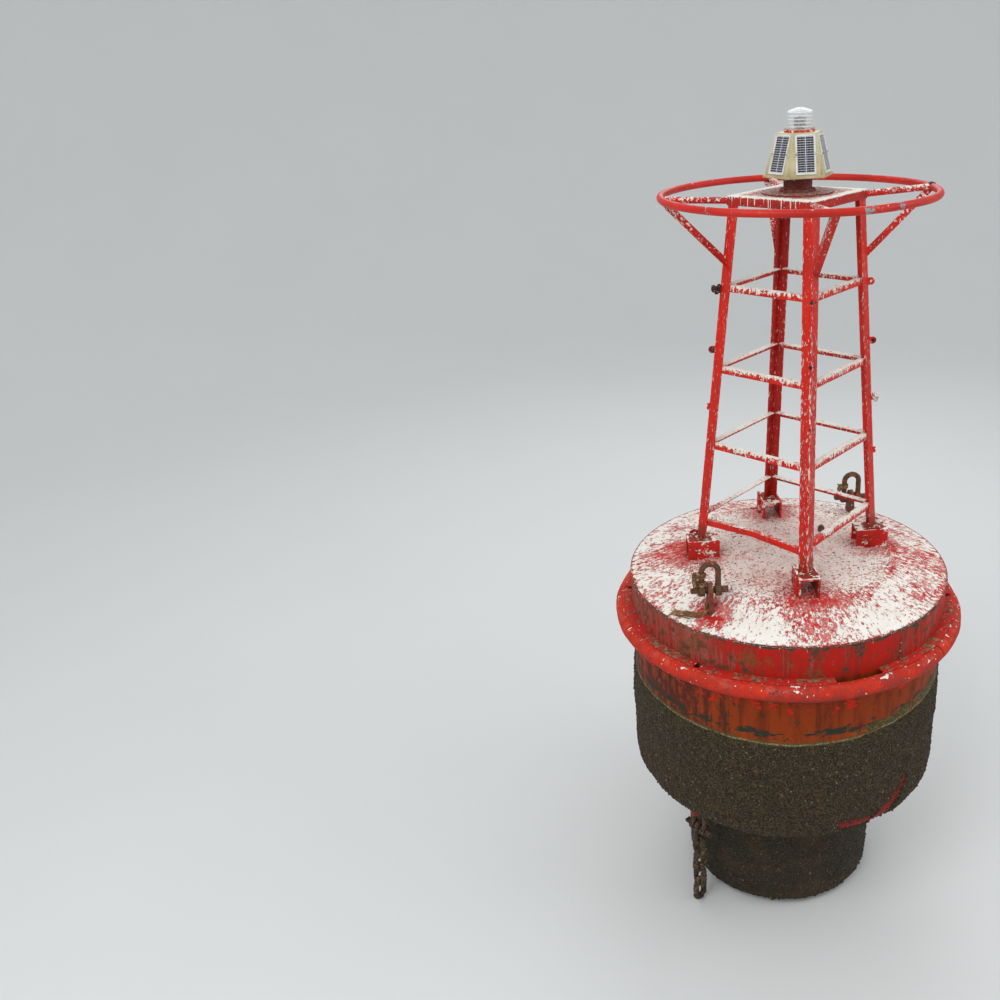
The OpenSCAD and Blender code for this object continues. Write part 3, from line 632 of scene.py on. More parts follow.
@dataclass(frozen=True)
class ShellCrust(Finish):
    """Dried crust of barnacles, mussels and weed, with painted shade in the gaps between shells.

    Attributes:
        wet: How far weed and slime darken it, 0 to 1.
    """

    name: str = "shell_crust"
    wet: float = 0.0

    def paint(self, s: Shader) -> Surface:
        """Lays the coats."""
        # Distance from the cells' middles: it sinks the relief and masks the painted shade in the gaps.
        cell = s.cells(84.0)
        tone = s.parts(s.cells(84.0, out="Color"))[0]
        small = s.cells(160.0)
        clouds = s.noise(3.5, 4.0, 0.6)
        middle = s.noise(26.0, 4.0, 0.65)
        ramp = s.ramp(tone * 0.40 + middle * 0.60 + clouds * 0.2 - 0.06, (0.0, srgb(46, 38, 27)),
                      (0.35, srgb(66, 54, 39)), (0.62, srgb(86, 72, 52)), (0.86, srgb(108, 91, 67)),
                      (1.0, srgb(142, 123, 93)))
        ochre = (s.noise(11.0, 5.0, 0.65) + tone * 0.1).rise(0.63, 0.74) * 0.7
        pale = (s.parts(s.cells(96.0, out="Color"))[1] + middle * 0.25).rise(1.115, 1.145)
        depth = DECK_Z - s.z
        green = (depth.rise(0.96, 0.76) * 0.30 + middle).rise(0.56, 0.78)
        slime = s.mix(s.noise(4.0, 3.0).rise(0.46, 0.64), srgb(31, 35, 26), srgb(64, 50, 34))
        colour = s.layers(ramp, (ochre, srgb(116, 84, 42)), (green * 0.5, srgb(82, 80, 46)),
                          # Near-black at the cells' edges is painted shade in the gaps between shells.
                          (cell.rise(0.38, 0.62) * 0.75, srgb(24, 20, 14)),
                          (pale * 0.7, srgb(166, 148, 116)),
                          (self.wet * (0.4 + middle * 0.8), slime),
                          (self.wet * s.noise(70.0, 3.0).rise(0.66, 0.70), srgb(150, 146, 128)))
        height = small * 0.35 - cell * 0.8 + middle * 0.6
        return s.finish(colour, 0.74 + middle * 0.25 - self.wet * 0.2, height, 0.015)


@dataclass(frozen=True)
class TailCrust(Finish):
    """Encrusted tube, brackets and ballast under the hull.

    Attributes:
        bare: How much of the steel is free of crust, 0 to 1.
    """

    name: str = "tail_crust"
    bare: float = 0.3

    def paint(self, s: Shader) -> Surface:
        """Lays the coats."""
        mottle = s.noise(12.0, 6.0, 0.68)
        cell = s.cells(70.0)
        fine = s.noise(90.0, 4.0)
        crust = (mottle + cell * 0.2).rise(0.44 + self.bare * 0.2, 0.56 + self.bare * 0.2)
        colour = s.layers(srgb(86, 40, 28), (fine.rise(0.4, 0.6), srgb(64, 36, 26)),
                          (s.noise(5.0).rise(0.55, 0.7), srgb(118, 62, 36)), (crust, srgb(46, 40, 30)),
                          (s.noise(45.0, 4.0).rise(0.63, 0.68), srgb(134, 120, 94)))
        return s.finish(colour, 0.66 + mottle * 0.25, mottle * 0.5 - cell * 0.5 + fine * 0.2, 0.006)


@dataclass(frozen=True)
class RustyIron(Finish):
    """Rusted shackles, chain, rods and nuts.

    Attributes:
        orange: How much fresh orange rust shows, 0 to 1.
        red: How much old red paint is left, 0 to 1.
        crust: How far shells and slime cover it, 0 to 1.
    """

    name: str = "rusty_iron"
    orange: float = 0.3
    red: float = 0.15
    crust: float = 0.0

    def paint(self, s: Shader) -> Surface:
        """Lays the coats."""
        mottle = s.noise(28.0, 6.0, 0.68)
        fine = s.noise(130.0, 5.0, 0.65)
        zone = s.noise(9.0, 3.0)
        shells = s.mix(s.noise(60.0, 4.0, 0.7).rise(0.40, 0.62), srgb(38, 32, 26), srgb(92, 80, 62))
        colour = s.layers(srgb(96, 66, 50), (mottle.rise(0.42, 0.62), srgb(70, 48, 37)),
                          ((mottle + zone * 0.4 + self.orange * 0.2).rise(0.78, 0.88), srgb(156, 84, 40)),
                          (s.noise(60.0, 4.0).rise(0.60, 0.68), srgb(118, 90, 68)),
                          ((zone + self.red * 0.3).rise(0.64, 0.70), srgb(158, 46, 28)),
                          ((s.noise(18.0, 4.0, 0.65) + self.crust * 0.24).rise(0.66, 0.72), shells),
                          (fine.rise(0.62, 0.70) * 0.6, srgb(38, 30, 25)))
        return s.finish(colour, 0.62 + fine * 0.25, mottle + fine * 0.5, 0.0035)


@dataclass(frozen=True)
class PlatformPaint(Finish):
    """Platform's paint, limed on top and dripping down its skirt."""

    name: str = "platform_paint"

    def paint(self, s: Shader) -> Surface:
        """Lays the coats."""
        radius = s.length(s.x, s.y)
        mottle = s.noise(24.0, 5.0, 0.66)
        spots = s.noise(60.0, 5.0, 0.7, warp=0.4)
        fine = s.noise(90.0, 4.0)
        soft = s.noise(15.0, 2.0)
        runs = s.runs(85.0, 1.2, 3.0, 0.5)
        level = s.up.rise(0.5, 0.9)
        drop = (PLATFORM_Z - s.z) * 16.0
        front_left = (s.x + s.y).rise(-0.42, -0.46)
        drips = (runs + front_left * 0.050 - drop * (soft * 0.22 - 0.04)).rise(0.640, 0.655)
        drips = drips.most((drop.rise(0.22, 0.02) * 0.28 + spots).rise(0.64, 0.68))
        drips = drips * (1.0 - level) * s.up.rise(-0.5, -0.1)
        rim = (s.x.size() + s.y.size()).rise(0.34, 0.44)
        # Round the neck the top is darker and browner and carries less lime.
        near_neck = radius.rise(0.34, 0.24)
        top = (spots * 0.5 + mottle * 0.5 + rim * 0.10 - near_neck * 0.05).rise(0.44, 0.54) * level
        lime = top.most(drips)
        paint = s.layers(srgb(178, 32, 20), (mottle.rise(0.48, 0.66), srgb(128, 36, 26)),
                         (near_neck * level * 0.7, srgb(118, 62, 54)),
                         (s.noise(34.0, 5.0, 0.7).rise(0.60, 0.66), srgb(76, 44, 34)))
        tint = s.layers(WHITE_LIME, (fine.rise(0.4, 0.6) * 0.6, CREAM_LIME),
                        (level * (1.0 - rim) * mottle.rise(0.40, 0.62) * 0.7, srgb(178, 150, 142)))
        colour = s.layers(paint, (lime, tint), (fine.rise(0.68, 0.72) * level, srgb(80, 62, 54)))
        return s.finish(colour, 0.55 + lime * 0.25, lime * 0.8 + mottle * 0.4, 0.002)


@dataclass(frozen=True)
class HoopPaint(Finish):
    """Guard hoop's smooth red paint with a few bare grey patches and white smears.

    Attributes:
        bare: Places where grey metal shows, each an azimuth, a half length and a share.
        limed: Places under white droppings, each an azimuth, a half length and a share.
        hoop_r: Radius of the hoop.
    """

    name: str = "hoop_paint"
    bare: tuple[tuple[float, float, float], ...] = (
        (-75.5, 0.075, 1.0), (-62.0, 0.050, 1.0), (-139.0, 0.050, 1.0))
    limed: tuple[tuple[float, float, float], ...] = (
        (-97.5, 0.035, 1.0), (-68.0, 0.030, 0.8), (-50.0, 0.035, 0.9), (118.0, 0.04, 1.0))
    hoop_r: float = 0.895

    def paint(self, s: Shader) -> Surface:
        """Lays the coats."""
        soft = s.noise(4.0, 3.0)
        fine = s.noise(60.0, 5.0, 0.65)
        grain = s.noise(26.0, 5.0, 0.7, warp=0.5)
        streak = s.runs(16.0, 90.0, 4.0, 0.6)
        colour = s.layers(srgb(204, 38, 24), (soft.rise(0.35, 0.65), srgb(182, 34, 22)),
                          (streak.rise(0.6, 0.7) * 0.35, srgb(196, 100, 84)),
                          (fine.rise(0.66, 0.70), srgb(120, 50, 40)))
        lime: Operand = (grain + s.up * 0.03).rise(0.675, 0.695)
        bare: Operand = 0.0
        for degrees, half, share in self.limed:
            lime = ((self._patch(s, degrees, half) - 0.9) * 0.22 * share + grain).rise(0.60, 0.63).most(lime)
        for degrees, half, share in self.bare:
            bare = ((self._patch(s, degrees, half) - 0.9) * 0.30 * share + grain).rise(0.53, 0.56).most(bare)
        colour = s.layers(colour, (bare, srgb(148, 150, 152)), (lime, WHITE_LIME))
        height = lime * 0.7 - bare * 0.5 + fine * 0.2
        return s.finish(colour, 0.40 + fine * 0.15 + lime * 0.3, height, 0.0015)

    def _patch(self, s: Shader, degrees: float, half: float) -> Value:
        """A soft ball round one place on the hoop."""
        angle = math.radians(degrees)
        reach = s.length(s.x - self.hoop_r * math.cos(angle), s.y - self.hoop_r * math.sin(angle))
        return reach.rise(half * 1.2, half * 0.4)


@dataclass(frozen=True)
class PedestalPaint(Finish):
    """Dark dusty red of the lantern's neck."""

    name: str = "pedestal_dark_red"

    def paint(self, s: Shader) -> Surface:
        """Lays the coats."""
        mottle = s.noise(45.0, 5.0, 0.68)
        fine = s.noise(140.0, 3.0)
        level = s.up.rise(0.5, 0.9)
        colour = s.layers(srgb(128, 36, 32), (mottle.rise(0.42, 0.60), srgb(104, 72, 62)),
                          (s.noise(20.0, 4.0).rise(0.58, 0.68), srgb(160, 34, 30)),
                          (fine.rise(0.66, 0.70), srgb(172, 150, 140)),
                          (level * mottle.rise(0.46, 0.6) * 0.6, CREAM_LIME))
        return s.finish(colour, 0.6 + mottle * 0.2, mottle + fine * 0.3, 0.0015)


@dataclass(frozen=True)
class HousingPlastic(Finish):
    """Sun-faded beige plastic with splashes and dust at its foot.

    Attributes:
        base_z: Height of its foot.
    """

    name: str = "housing_beige"
    base_z: float = 5.672

    def paint(self, s: Shader) -> Surface:
        """Lays the coats."""
        soft = s.noise(9.0, 4.0)
        fine = s.noise(160.0, 3.0)
        runs = s.runs(90.0, 9.0, 4.0, 0.6)
        low = (s.z - self.base_z).rise(0.09, 0.0)
        colour = s.layers(srgb(198, 188, 152), (soft.rise(0.35, 0.7), srgb(184, 172, 132)),
                          (runs.rise(0.60, 0.72) * 0.4, srgb(222, 216, 190)),
                          (low * soft * 0.7, srgb(150, 132, 92)),
                          (s.noise(70.0, 4.0).rise(0.68, 0.71), srgb(96, 70, 50)),
                          (s.noise(18.0, 2.0).rise(0.735, 0.745), srgb(196, 52, 38)))
        return s.finish(colour, 0.42 + fine * 0.2, fine, 0.0004, Coat_Weight=0.15)


@dataclass(frozen=True)
class BezelPlastic(Finish):
    """White frame and clips of a solar panel, and its printed grid."""

    name: str = "bezel_white"

    def paint(self, s: Shader) -> Surface:
        """Lays the coats."""
        soft = s.noise(14.0, 4.0)
        dirt = s.noise(90.0, 5.0, 0.7)
        colour = s.layers(srgb(222, 222, 218), (soft.rise(0.4, 0.7), srgb(204, 204, 198)),
                          (dirt.rise(0.64, 0.70) * 0.7, srgb(150, 144, 130)))
        return s.finish(colour, 0.35 + soft * 0.2, dirt, 0.0003, Coat_Weight=0.3)


@dataclass(frozen=True)
class CellSilicon(Finish):
    """Dark blue solar cells under a clear coat, read from the map "panel".

    Attributes:
        rows: Rows of cells.
        columns: Columns of cells.
    """

    name: str = "cell_silicon"
    rows: int = 17
    columns: int = 6

    def paint(self, s: Shader) -> Surface:
        """Lays the coats."""
        panel = s.node("ShaderNodeUVMap", {"uv_map": "panel"})
        u, v, _ = s.parts(panel)
        soft = s.noise(30.0, 4.0)
        cell = s.noise(1.0, 0.0, 0.5, s.vector(u * self.columns, v * self.rows * 0.7, s.x * 6.0))
        row = self._line(v * self.rows, 0.13)
        column = self._line(u * self.columns + 0.5, 0.06)
        spine = (u - 0.5).size().rise(0.016, 0.010)
        colour = s.layers(srgb(22, 23, 34), (cell.rise(0.4, 0.6), srgb(34, 36, 62)),
                          (soft.rise(0.55, 0.7) * 0.5, srgb(58, 50, 76)),
                          (s.noise(120.0, 3.0).rise(0.66, 0.72) * 0.4, srgb(120, 118, 110)),
                          (row * 0.85, srgb(206, 208, 212)), (column * 0.40, srgb(186, 190, 198)),
                          (spine, srgb(228, 230, 230)))
        return s.finish(colour, 0.16 + soft * 0.12, soft, 0.0002, Coat_Weight=1.0,
                        Coat_Roughness=0.06)

    @staticmethod
    def _line(count: Value, width: float) -> Value:
        """Thin lines where a count passes each whole number."""
        return (count + 0.5).fraction().near(0.5, width, 0.6)


@dataclass(frozen=True)
class LensPlastic(Finish):
    """Clear lens with milky edges to its ribs and a milky cap.

    Attributes:
        foot_z: Height of the lens's foot.
        side_h: Height of its ribbed side.
        ribs: Ribs of the side.
    """

    name: str = "lens_clear_plastic"
    foot_z: float = 0.0
    side_h: float = 0.104
    ribs: int = 5

    def paint(self, s: Shader) -> Surface:
        """Lays the coats."""
        haze = s.noise(40.0, 4.0)
        height = (s.z - self.foot_z) / self.side_h
        edge = ((height * self.ribs).fraction() - 0.5).size().rise(0.22, 0.46)
        cap = height.rise(0.90, 1.0)
        colour = s.mix(haze.rise(0.4, 0.7), srgb(244, 248, 248), srgb(228, 236, 238))
        alpha = (edge * 0.42 + 0.12).most(cap * 0.38) + haze * 0.08
        return s.finish(colour, 0.08 + haze * 0.14, haze, 0.0004, Alpha=alpha, IOR=1.49,
                        Coat_Weight=0.4)


@dataclass(frozen=True)
class LedOptics(Finish):
    """Grey light array with bright and dark facets."""

    name: str = "led_optics"

    def paint(self, s: Shader) -> Surface:
        """Lays the coats."""
        tone = s.parts(s.cells(120.0, out="Color"))[0]
        colour = s.layers(srgb(96, 100, 100), (tone.rise(0.40, 0.45), srgb(26, 28, 32)),
                          (tone.rise(0.78, 0.82), srgb(206, 208, 204)))
        return s.finish(colour, 0.25 + tone * 0.2, tone, 0.0006, Metallic=0.2)


@dataclass(frozen=True)
class RingPaint(Finish):
    """Red ring under the lens."""

    name: str = "lens_ring_red"

    def paint(self, s: Shader) -> Surface:
        """Lays the coats."""
        mottle = s.noise(60.0, 5.0, 0.66)
        colour = s.layers(srgb(200, 36, 22), (mottle.rise(0.5, 0.66), srgb(120, 40, 34)),
                          (s.noise(70.0, 3.0).rise(0.54, 0.60), srgb(222, 214, 204)))
        return s.finish(colour, 0.45 + mottle * 0.2, mottle, 0.001)


@dataclass(frozen=True)
class LegPaint(Finish):
    """Legs' bright red with painted shade on the back leg, and short white runs on heels and flange edges.

    Attributes:
        tip: Distance of a flange's edge from the leg's own plane.
        ears_z: Height under which the front leg is most splashed.
    """

    name: str = "leg_paint"
    tip: float = 0.053
    ears_z: float = DECK_Z + 2.1

    def paint(self, s: Shader) -> Surface:
        """Lays the coats."""
        across = s.x.size().least(s.y.size())
        front = s.y.rise(-0.25, -0.35)
        # Mask of the back leg, whose red is painted darker as shade.
        back = s.y.rise(0.25, 0.35)
        fine = s.noise(80.0, 4.0, 0.62)
        soft = s.noise(5.0, 4.0)
        runs = s.runs(110.0, 24.0, 5.0, 0.66)
        clumps = s.noise(7.0, 3.0, 0.6)
        heel = across.rise(0.013, 0.001)
        lip = across.rise(self.tip - 0.012, self.tip - 0.002)
        low = s.z.rise(self.ears_z + 0.1, self.ears_z - 0.2)
        amount = heel * (0.03 + front * low * 0.05) + lip * 0.05 + front * low * 0.03
        lime = (runs + amount + clumps * 0.16).rise(0.705, 0.74)
        chips = (s.noise(40.0, 6.0, 0.7) + lip * 0.05 + heel * 0.02).rise(0.645, 0.68)
        foot = s.z.rise(DECK_Z + 0.44, DECK_Z + 0.32)
        streaks = s.runs(60.0, 7.0, 4.0, 0.6)
        paint = s.layers(BRIGHT_RED, (soft.rise(0.38, 0.7) * 0.7, srgb(182, 26, 14)),
                         # Painted shade: the back leg's darker red.
                         (back * 0.65, srgb(158, 22, 20)),
                         (streaks.rise(0.52, 0.66) * 0.5, srgb(158, 26, 14)),
                         ((fine * 0.5 + soft * 0.5).rise(0.56, 0.66) * 0.3, srgb(214, 88, 70)))
        scale = s.mix(fine.rise(0.42, 0.58), SCALE_BLACK, RUST_ORANGE)
        colour = s.layers(paint, (chips, scale), (foot * soft.rise(0.4, 0.6) * 0.6, RUST_BROWN),
                          (lime, s.lime(fine)))
        height = lime * 0.7 + fine * 0.3 - chips * 0.6
        return s.finish(colour, lime.most(chips) * 0.4 + 0.36 + fine * 0.12, height, 0.0016)


@dataclass(frozen=True)
class GirtPaint(Finish):
    """Girts' red with ragged white tops, splashes on their faces and a few eaten spots.

    Attributes:
        first: Height of the lowest girt's top above the deck's edge.
        pitch: Height from one girt to the next.
        eaten: Middle of the rust-eaten spot.
    """

    name: str = "girt_paint"
    first: float = 0.475
    pitch: float = 0.562
    eaten: Place = (-0.36, 0.28, DECK_Z + 0.455)

    def paint(self, s: Shader) -> Surface:
        """Lays the coats."""
        fine = s.noise(85.0, 4.0, 0.62)
        soft = s.noise(6.0, 4.0)
        grain = s.noise(44.0, 5.0, 0.7, warp=0.4)
        runs = s.runs(80.0, 16.0, 4.0, 0.6)
        level = s.up.rise(0.6, 0.9)
        tier = (s.z - (DECK_Z + self.first - self.pitch / 2)) / self.pitch
        drop = (0.5 - tier.fraction()) * self.pitch
        ragged = grain * 0.55 + runs * 0.45
        spare = (s.x + s.y).rise(-0.25, -0.40) * s.z.rise(DECK_Z + 0.62, DECK_Z + 0.52)
        face = (ragged + drop.rise(0.045, 0.0) * 0.11 + soft * 0.16 - spare * 0.05).rise(0.645, 0.675)
        face = face * (1.0 - level)
        top = (grain * 0.6 + fine * 0.4 + soft * 0.3 - spare * 0.10).rise(0.55, 0.60) * level
        lime = face.most(top)
        reach = s.node("ShaderNodeVectorMath", {"operation": "DISTANCE"}, {0: s.place, 1: self.eaten},
                       "Value")
        spot = (reach.rise(0.10, 0.02) * 0.35 + grain).rise(0.62, 0.70)
        chips = (s.noise(34.0, 6.0, 0.7) + soft * 0.1).rise(0.69, 0.73).most(spot)
        paint = s.layers(BRIGHT_RED, (soft.rise(0.38, 0.7), srgb(180, 28, 16)),
                         (fine.rise(0.6, 0.7) * 0.3, srgb(212, 92, 76)))
        scale = s.mix(fine.rise(0.42, 0.58), SCALE_BLACK, srgb(190, 92, 34))
        colour = s.layers(paint, (chips, scale), (lime, s.lime(fine)))
        height = lime * 0.7 + fine * 0.3 - chips * 0.8
        return s.finish(colour, lime.most(chips) * 0.4 + 0.38 + fine * 0.12, height, 0.0018)


@dataclass(frozen=True)
class FootPaint(Finish):
    """Feet: red channel, limed on its flanges, rusty inside and painted darker inside as shade."""

    name: str = "foot_paint"

    def paint(self, s: Shader) -> Surface:
        """Lays the coats."""
        across = s.x.size().least(s.y.size())
        outward = s.x.size().most(s.y.size())
        fine = s.noise(80.0, 4.0, 0.62)
        mottle = s.noise(20.0, 5.0, 0.68)
        # Inside of the channel: less lime and more rust there, and a darker red that is painted shade.
        inside = outward.rise(0.565, 0.60) * outward.rise(0.76, 0.74) * across.rise(0.069, 0.066)
        low = s.z.rise(DECK_Z + 0.20, DECK_Z + 0.12)
        level = s.up.rise(0.5, 0.9)
        lime = (mottle + level * 0.12 - inside * 0.10).rise(0.56, 0.60)
        rusty = (mottle + inside * 0.16 + low * 0.05).rise(0.60, 0.70)
        paint = s.layers(srgb(196, 32, 22), (s.noise(7.0, 4.0).rise(0.4, 0.65), srgb(158, 28, 22)),
                         # Painted shade: darker red inside the channel.
                         (inside * 0.55, srgb(92, 28, 26)))
        scale = s.mix(fine.rise(0.40, 0.60), srgb(70, 44, 32), srgb(142, 74, 40))
        colour = s.layers(paint, (rusty * 0.9, scale), (fine.rise(0.62, 0.70) * 0.7, srgb(52, 40, 34)),
                          (lime, s.lime(fine)))
        return s.finish(colour, 0.55 + fine * 0.2, mottle * 0.5 + lime * 0.5 - rusty * 0.4, 0.003)


@dataclass(frozen=True)
class EyePaint(Finish):
    """Lifting eyes: rusty brown with a little red, pale edges and salt."""

    name: str = "lifting_eye_paint"

    def paint(self, s: Shader) -> Surface:
        """Lays the coats."""
        fine = s.noise(90.0, 4.0, 0.62)
        mottle = s.noise(24.0, 5.0, 0.68)
        colour = s.layers(srgb(124, 68, 48), (mottle.rise(0.40, 0.58), srgb(96, 58, 42)),
                          (s.noise(15.0, 4.0).rise(0.56, 0.64), srgb(158, 40, 28)),
                          (s.noise(40.0, 4.0).rise(0.54, 0.62), srgb(78, 54, 42)),
                          ((mottle + s.up * 0.06).rise(0.60, 0.66) * 0.8, srgb(196, 184, 170)),
                          (fine.rise(0.64, 0.70), srgb(44, 36, 30)))
        return s.finish(colour, 0.6 + fine * 0.2, mottle + fine * 0.4, 0.003)


@dataclass(frozen=True)
class WeldPaint(Finish):
    """Grey and dark scale on the weld beads round the deck."""

    name: str = "weld_scale"

    def paint(self, s: Shader) -> Surface:
        """Lays the coats."""
        mottle = s.noise(34.0, 5.0, 0.68)
        zone = s.noise(3.5, 3.0)
        scale = (mottle * 0.6 + zone * 0.4).rise(0.44, 0.54)
        colour = s.layers(srgb(150, 34, 26), (scale, srgb(74, 66, 60)),
                          (mottle.rise(0.56, 0.64), srgb(150, 96, 84)),
                          (s.noise(60.0, 4.0).rise(0.58, 0.64), srgb(214, 206, 196)))
        return s.finish(colour, 0.65 + mottle * 0.2, mottle, 0.002)


@dataclass(frozen=True)
class Litter(Finish):
    """Bits of twig, shell and dirt on the deck."""

    name: str = "deck_litter"

    def paint(self, s: Shader) -> Surface:
        """Lays the coats."""
        tone = s.noise(9.0, 4.0, 0.7)
        fine = s.noise(160.0, 3.0)
        colour = s.layers(srgb(122, 112, 98), (tone.rise(0.42, 0.50), srgb(66, 54, 44)),
                          (tone.rise(0.54, 0.60), srgb(196, 188, 174)),
                          (fine.rise(0.5, 0.7), srgb(60, 50, 42)))
        return s.finish(colour, 0.8 + fine * 0.1, fine, 0.001)


@dataclass(frozen=True)
class ShellTint(Finish):
    """Barnacles, each of its own tone, flecked darker."""

    name: str = "single_shells"

    def paint(self, s: Shader) -> Surface:
        """Lays the coats."""
        tint = s.node("ShaderNodeAttribute", {"attribute_name": "tint"}, out="Fac")
        fine = s.noise(220.0, 3.0)
        tone = s.ramp(tint, (0.0, srgb(46, 38, 28)), (0.50, srgb(70, 58, 42)), (0.86, srgb(96, 81, 59)),
                      (0.975, srgb(122, 104, 76)), (1.0, srgb(150, 132, 100)))
        colour = s.mix(fine.rise(0.5, 0.7) * 0.5, tone, srgb(44, 37, 28))
        return s.finish(colour, 0.72 + fine * 0.2, fine, 0.002)


@dataclass(frozen=True)
class SpokePaint(Finish):
    """Spokes' red, speckled white towards the hoop.

    Attributes:
        from_r: Radius from which more white shows.
        to_r: Radius at which most shows.
    """

    name: str = "spoke_paint"
    from_r: float = 0.30
    to_r: float = 0.85

    def paint(self, s: Shader) -> Surface:
        """Lays the coats."""
        radius = s.x.size().most(s.y.size())
        fine = s.noise(80.0, 4.0, 0.62)
        grain = s.noise(52.0, 5.0, 0.7, warp=0.4)
        soft = s.noise(6.0, 4.0)
        limed = radius.rise(self.from_r, self.to_r) * 0.09 + s.up * 0.07
        lime = (grain + limed + soft * 0.1).rise(0.66, 0.69)
        colour = s.layers(srgb(200, 32, 20), (soft.rise(0.4, 0.7), srgb(166, 28, 20)),
                          (s.noise(30.0, 5.0).rise(0.64, 0.70), srgb(84, 54, 40)),
                          (lime, s.lime(fine)))
        return s.finish(colour, 0.45 + lime * 0.3 + fine * 0.1, lime * 0.6 + fine * 0.3, 0.0015)


@dataclass(frozen=True)
class LimeCrust(Finish):
    """Thick pale droppings on a scrap."""

    name: str = "lime_crust"

    def paint(self, s: Shader) -> Surface:
        """Lays the coats."""
        mottle = s.noise(60.0, 5.0, 0.66)
        colour = s.layers(WHITE_LIME, (mottle.rise(0.50, 0.60), srgb(120, 104, 92)),
                          (s.noise(110.0, 3.0).rise(0.60, 0.68), srgb(60, 48, 42)))
        return s.finish(colour, 0.7 + mottle * 0.2, mottle, 0.002)


@dataclass(frozen=True)
class ClipPlastic(Finish):
    """Beige clips round the lens ring."""

    name: str = "clip_beige"

    def paint(self, s: Shader) -> Surface:
        """Lays the coats."""
        soft = s.noise(80.0, 4.0)
        colour = s.mix(soft.rise(0.4, 0.7), srgb(206, 192, 152), srgb(140, 120, 92))
        return s.finish(colour, 0.5 + soft * 0.2, soft, 0.0004)


@dataclass(frozen=True)
class OldRope(Finish):
    """Frayed natural rope, brown with age."""

    name: str = "old_rope"

    def paint(self, s: Shader) -> Surface:
        """Lays the coats."""
        strands = s.noise(1.0, 4.0, 0.6, s.stretched(160.0, 60.0, (30.0, 20.0, 0.0)))
        soft = s.noise(26.0, 4.0)
        colour = s.layers(srgb(136, 98, 62), (strands.rise(0.4, 0.62), srgb(94, 62, 38)),
                          (soft.rise(0.5, 0.7), srgb(176, 144, 98)),
                          (s.noise(60.0, 3.0).rise(0.62, 0.70), srgb(58, 42, 28)))
        return s.finish(colour, 0.85 + soft * 0.1, strands, 0.0025)


@dataclass(frozen=True)
class BlackTape(Finish):
    """Weathered black tape and rubber scraps."""

    name: str = "black_tape"

    def paint(self, s: Shader) -> Surface:
        """Lays the coats."""
        mottle = s.noise(70.0, 5.0, 0.66)
        colour = s.layers(srgb(34, 31, 30), (mottle.rise(0.5, 0.66), srgb(66, 58, 52)),
                          (s.noise(110.0, 3.0).rise(0.62, 0.68), srgb(176, 168, 158)))
        return s.finish(colour, 0.55 + mottle * 0.25, mottle, 0.0015)


@dataclass(frozen=True)
class BareWire(Finish):
    """Bright wire of the bird spike."""

    name: str = "bare_wire"

    def paint(self, s: Shader) -> Surface:
        """Lays the coats."""
        soft = s.noise(60.0, 3.0)
        return s.finish(s.mix(soft, srgb(196, 198, 198), srgb(150, 150, 148)), 0.3 + soft * 0.2,
                        Metallic=0.9)


@dataclass(frozen=True)
class StudioFloor(Finish):
    """Pale matt floor."""

    name: str = "studio_floor"

    def paint(self, s: Shader) -> Surface:
        """Lays the coats."""
        soft = s.noise(0.4, 2.0)
        return s.finish(s.mix(soft, srgb(214, 216, 217), srgb(218, 220, 221)), 0.9)


